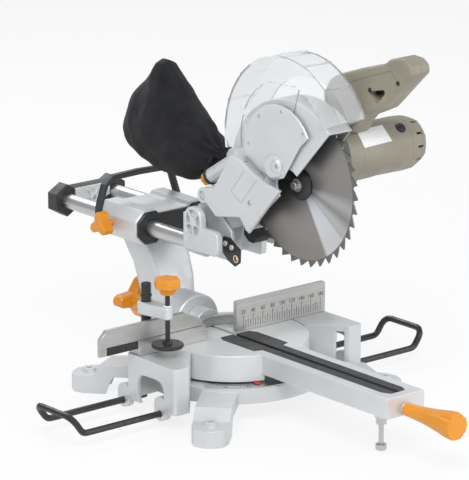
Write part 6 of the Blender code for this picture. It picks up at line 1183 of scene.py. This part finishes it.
seam(
    "handle_line",
    "head",
    "handle_shell_left",
    HANDLE_SEAMS,
    SEAM_WIDTH,
    JOINT_SHADE_OLIVE,
)
seam("arm_lines", "head", "upper_guard", ARM_SEAMS, SEAM_WIDTH, JOINT_SHADE_SILVER)
seam(
    "cover_hub_line",
    "head",
    "guard_side_cover",
    [hub_outline()],
    HUB_SEAM_WIDTH,
    JOINT_SHADE_SILVER,
)


# The bare white plate on the motor.

PLATE_CORNERS = ((353, 132), (382, 125), (392, 141), (361, 149))
PLATE_CELLS = 8
PLATE_PROUD = 0.0006
PLATE_SUNK = 0.0002


def motor_plate():
    """A thin plate that follows the motor's housing, bare and white."""
    points = []
    corners = [Vector(c) for c in PLATE_CORNERS]
    for row in range(PLATE_CELLS + 1):
        v = row / PLATE_CELLS
        for column in range(PLATE_CELLS + 1):
            u = column / PLATE_CELLS
            place = corners[0].lerp(corners[1], u).lerp(corners[3].lerp(corners[2], u), v)
            points.append(seen_on("motor_housing", place.x, place.y))
    count = PLATE_CELLS + 1
    upper = [point + normal * PLATE_PROUD for point, normal in points]
    lower = [point - normal * PLATE_SUNK for point, normal in points]
    total = count * count
    faces = []
    for row in range(PLATE_CELLS):
        for column in range(PLATE_CELLS):
            a = row * count + column
            faces.append([a, a + count, a + count + 1, a + 1])
            faces.append([total + a, total + a + 1, total + a + count + 1, total + a + count])
    rim = list(range(count))
    rim += [i * count + PLATE_CELLS for i in range(1, count)]
    rim += [PLATE_CELLS * count + i for i in range(PLATE_CELLS - 1, -1, -1)]
    rim += [i * count for i in range(PLATE_CELLS - 1, 0, -1)]
    for first, second in zip(rim, rim[1:] + rim[:1]):
        faces.append([first, second, total + second, total + first])
    mesh = joined([(upper + lower, faces)])
    clean = bmesh.new()
    clean.from_mesh(mesh)
    bmesh.ops.recalc_face_normals(clean, faces=clean.faces)
    clean.to_mesh(mesh)
    clean.free()
    make("motor_plate", mesh, LOOKS["white_plastic"], "head")


motor_plate()


# Floor, light and background.

FLOOR_SIZE = 14
FLOOR_LEVEL = -0.0005
FLOOR_COLOUR = (0.86, 0.86, 0.86)
FLOOR_WHITE = 0.82
FILL_COLOUR = (0.93, 0.96, 1.0)
FILL_STRENGTH = 0.55
LAMPS = (
    ("key", (-1.3, -1.6, 2.3), (0, 0, 0.2), (1.8, 1.2), 52),
    ("front", (1.6, -2.2, 1.0), (0, -0.1, 0.2), (1.6, 1.2), 16),
    ("rear", (0.6, 2.2, 2.0), (0, 0.1, 0.3), (1.8, 1.0), 22),
)


def largest_of(nodes, links, sources):
    """The largest of several outputs."""
    largest = sources[0]
    for source in sources[1:]:
        node = nodes.new("ShaderNodeMath")
        node.operation = "MAXIMUM"
        links.new(largest, node.inputs[0])
        links.new(source, node.inputs[1])
        largest = node.outputs[0]
    return largest


def mixed(nodes, links, share, first, second, output):
    """Leads two shaders, mixed by a share, into the output."""
    mix = nodes.new("ShaderNodeMixShader")
    links.new(share, mix.inputs[0])
    links.new(first.outputs[0], mix.inputs[1])
    links.new(second.outputs[0], mix.inputs[2])
    links.new(mix.outputs[0], output.inputs[0])


def floor_look():
    """A pale matt surface that the camera sees mostly as plain white, with the object's shadow."""
    material = bpy.data.materials.new("floor")
    material.use_nodes = True
    nodes, links = material.node_tree.nodes, material.node_tree.links
    nodes.clear()
    output = nodes.new("ShaderNodeOutputMaterial")
    matt = nodes.new("ShaderNodeBsdfDiffuse")
    matt.inputs["Color"].default_value = (*FLOOR_COLOUR, 1)
    glow = nodes.new("ShaderNodeEmission")
    glow.inputs["Color"].default_value = (1, 1, 1, 1)
    path = nodes.new("ShaderNodeLightPath").outputs
    rays = [path[ray] for ray in ("Is Camera Ray", "Is Glossy Ray", "Is Transmission Ray")]
    share = nodes.new("ShaderNodeMath")
    share.operation = "MULTIPLY"
    share.inputs[1].default_value = FLOOR_WHITE
    links.new(largest_of(nodes, links, rays), share.inputs[0])
    mixed(nodes, links, share.outputs[0], matt, glow, output)
    return material


def make_floor():
    """The plane under the saw, just below its feet."""
    half = FLOOR_SIZE / 2
    square = ((-half, -half), (half, -half), (half, half), (-half, half))
    mesh = bpy.data.meshes.new("floor")
    mesh.from_pydata([(x, y, FLOOR_LEVEL) for x, y in square], [], [[0, 1, 2, 3]])
    floor = bpy.data.objects.new("floor", mesh)
    bpy.context.scene.collection.objects.link(floor)
    mesh.materials.append(floor_look())


def lamp(name, place, aim, size, power):
    """A rectangular lamp that faces a point."""
    data = bpy.data.lights.new(name, "AREA")
    data.shape = "RECTANGLE"
    data.size, data.size_y = size
    data.energy = power
    light = bpy.data.objects.new(name, data)
    bpy.context.scene.collection.objects.link(light)
    light.location = place
    light.rotation_euler = (Vector(place) - Vector(aim)).to_track_quat("Z", "Y").to_euler()


def make_world():
    """White to the camera and through the guard, a soft bluish fill for the rest."""
    world = bpy.data.worlds.new("studio")
    bpy.context.scene.world = world
    world.use_nodes = True
    nodes, links = world.node_tree.nodes, world.node_tree.links
    nodes.clear()
    output = nodes.new("ShaderNodeOutputWorld")
    seen = nodes.new("ShaderNodeBackground")
    seen.inputs["Color"].default_value = (1, 1, 1, 1)
    fill = nodes.new("ShaderNodeBackground")
    fill.inputs["Color"].default_value = (*FILL_COLOUR, 1)
    fill.inputs["Strength"].default_value = FILL_STRENGTH
    path = nodes.new("ShaderNodeLightPath").outputs
    rays = [path[ray] for ray in ("Is Camera Ray", "Is Transmission Ray")]
    mixed(nodes, links, largest_of(nodes, links, rays), fill, seen, output)


make_floor()
make_world()
for settings in LAMPS:
    lamp(*settings)
bpy.context.scene.view_settings.view_transform = "Standard"
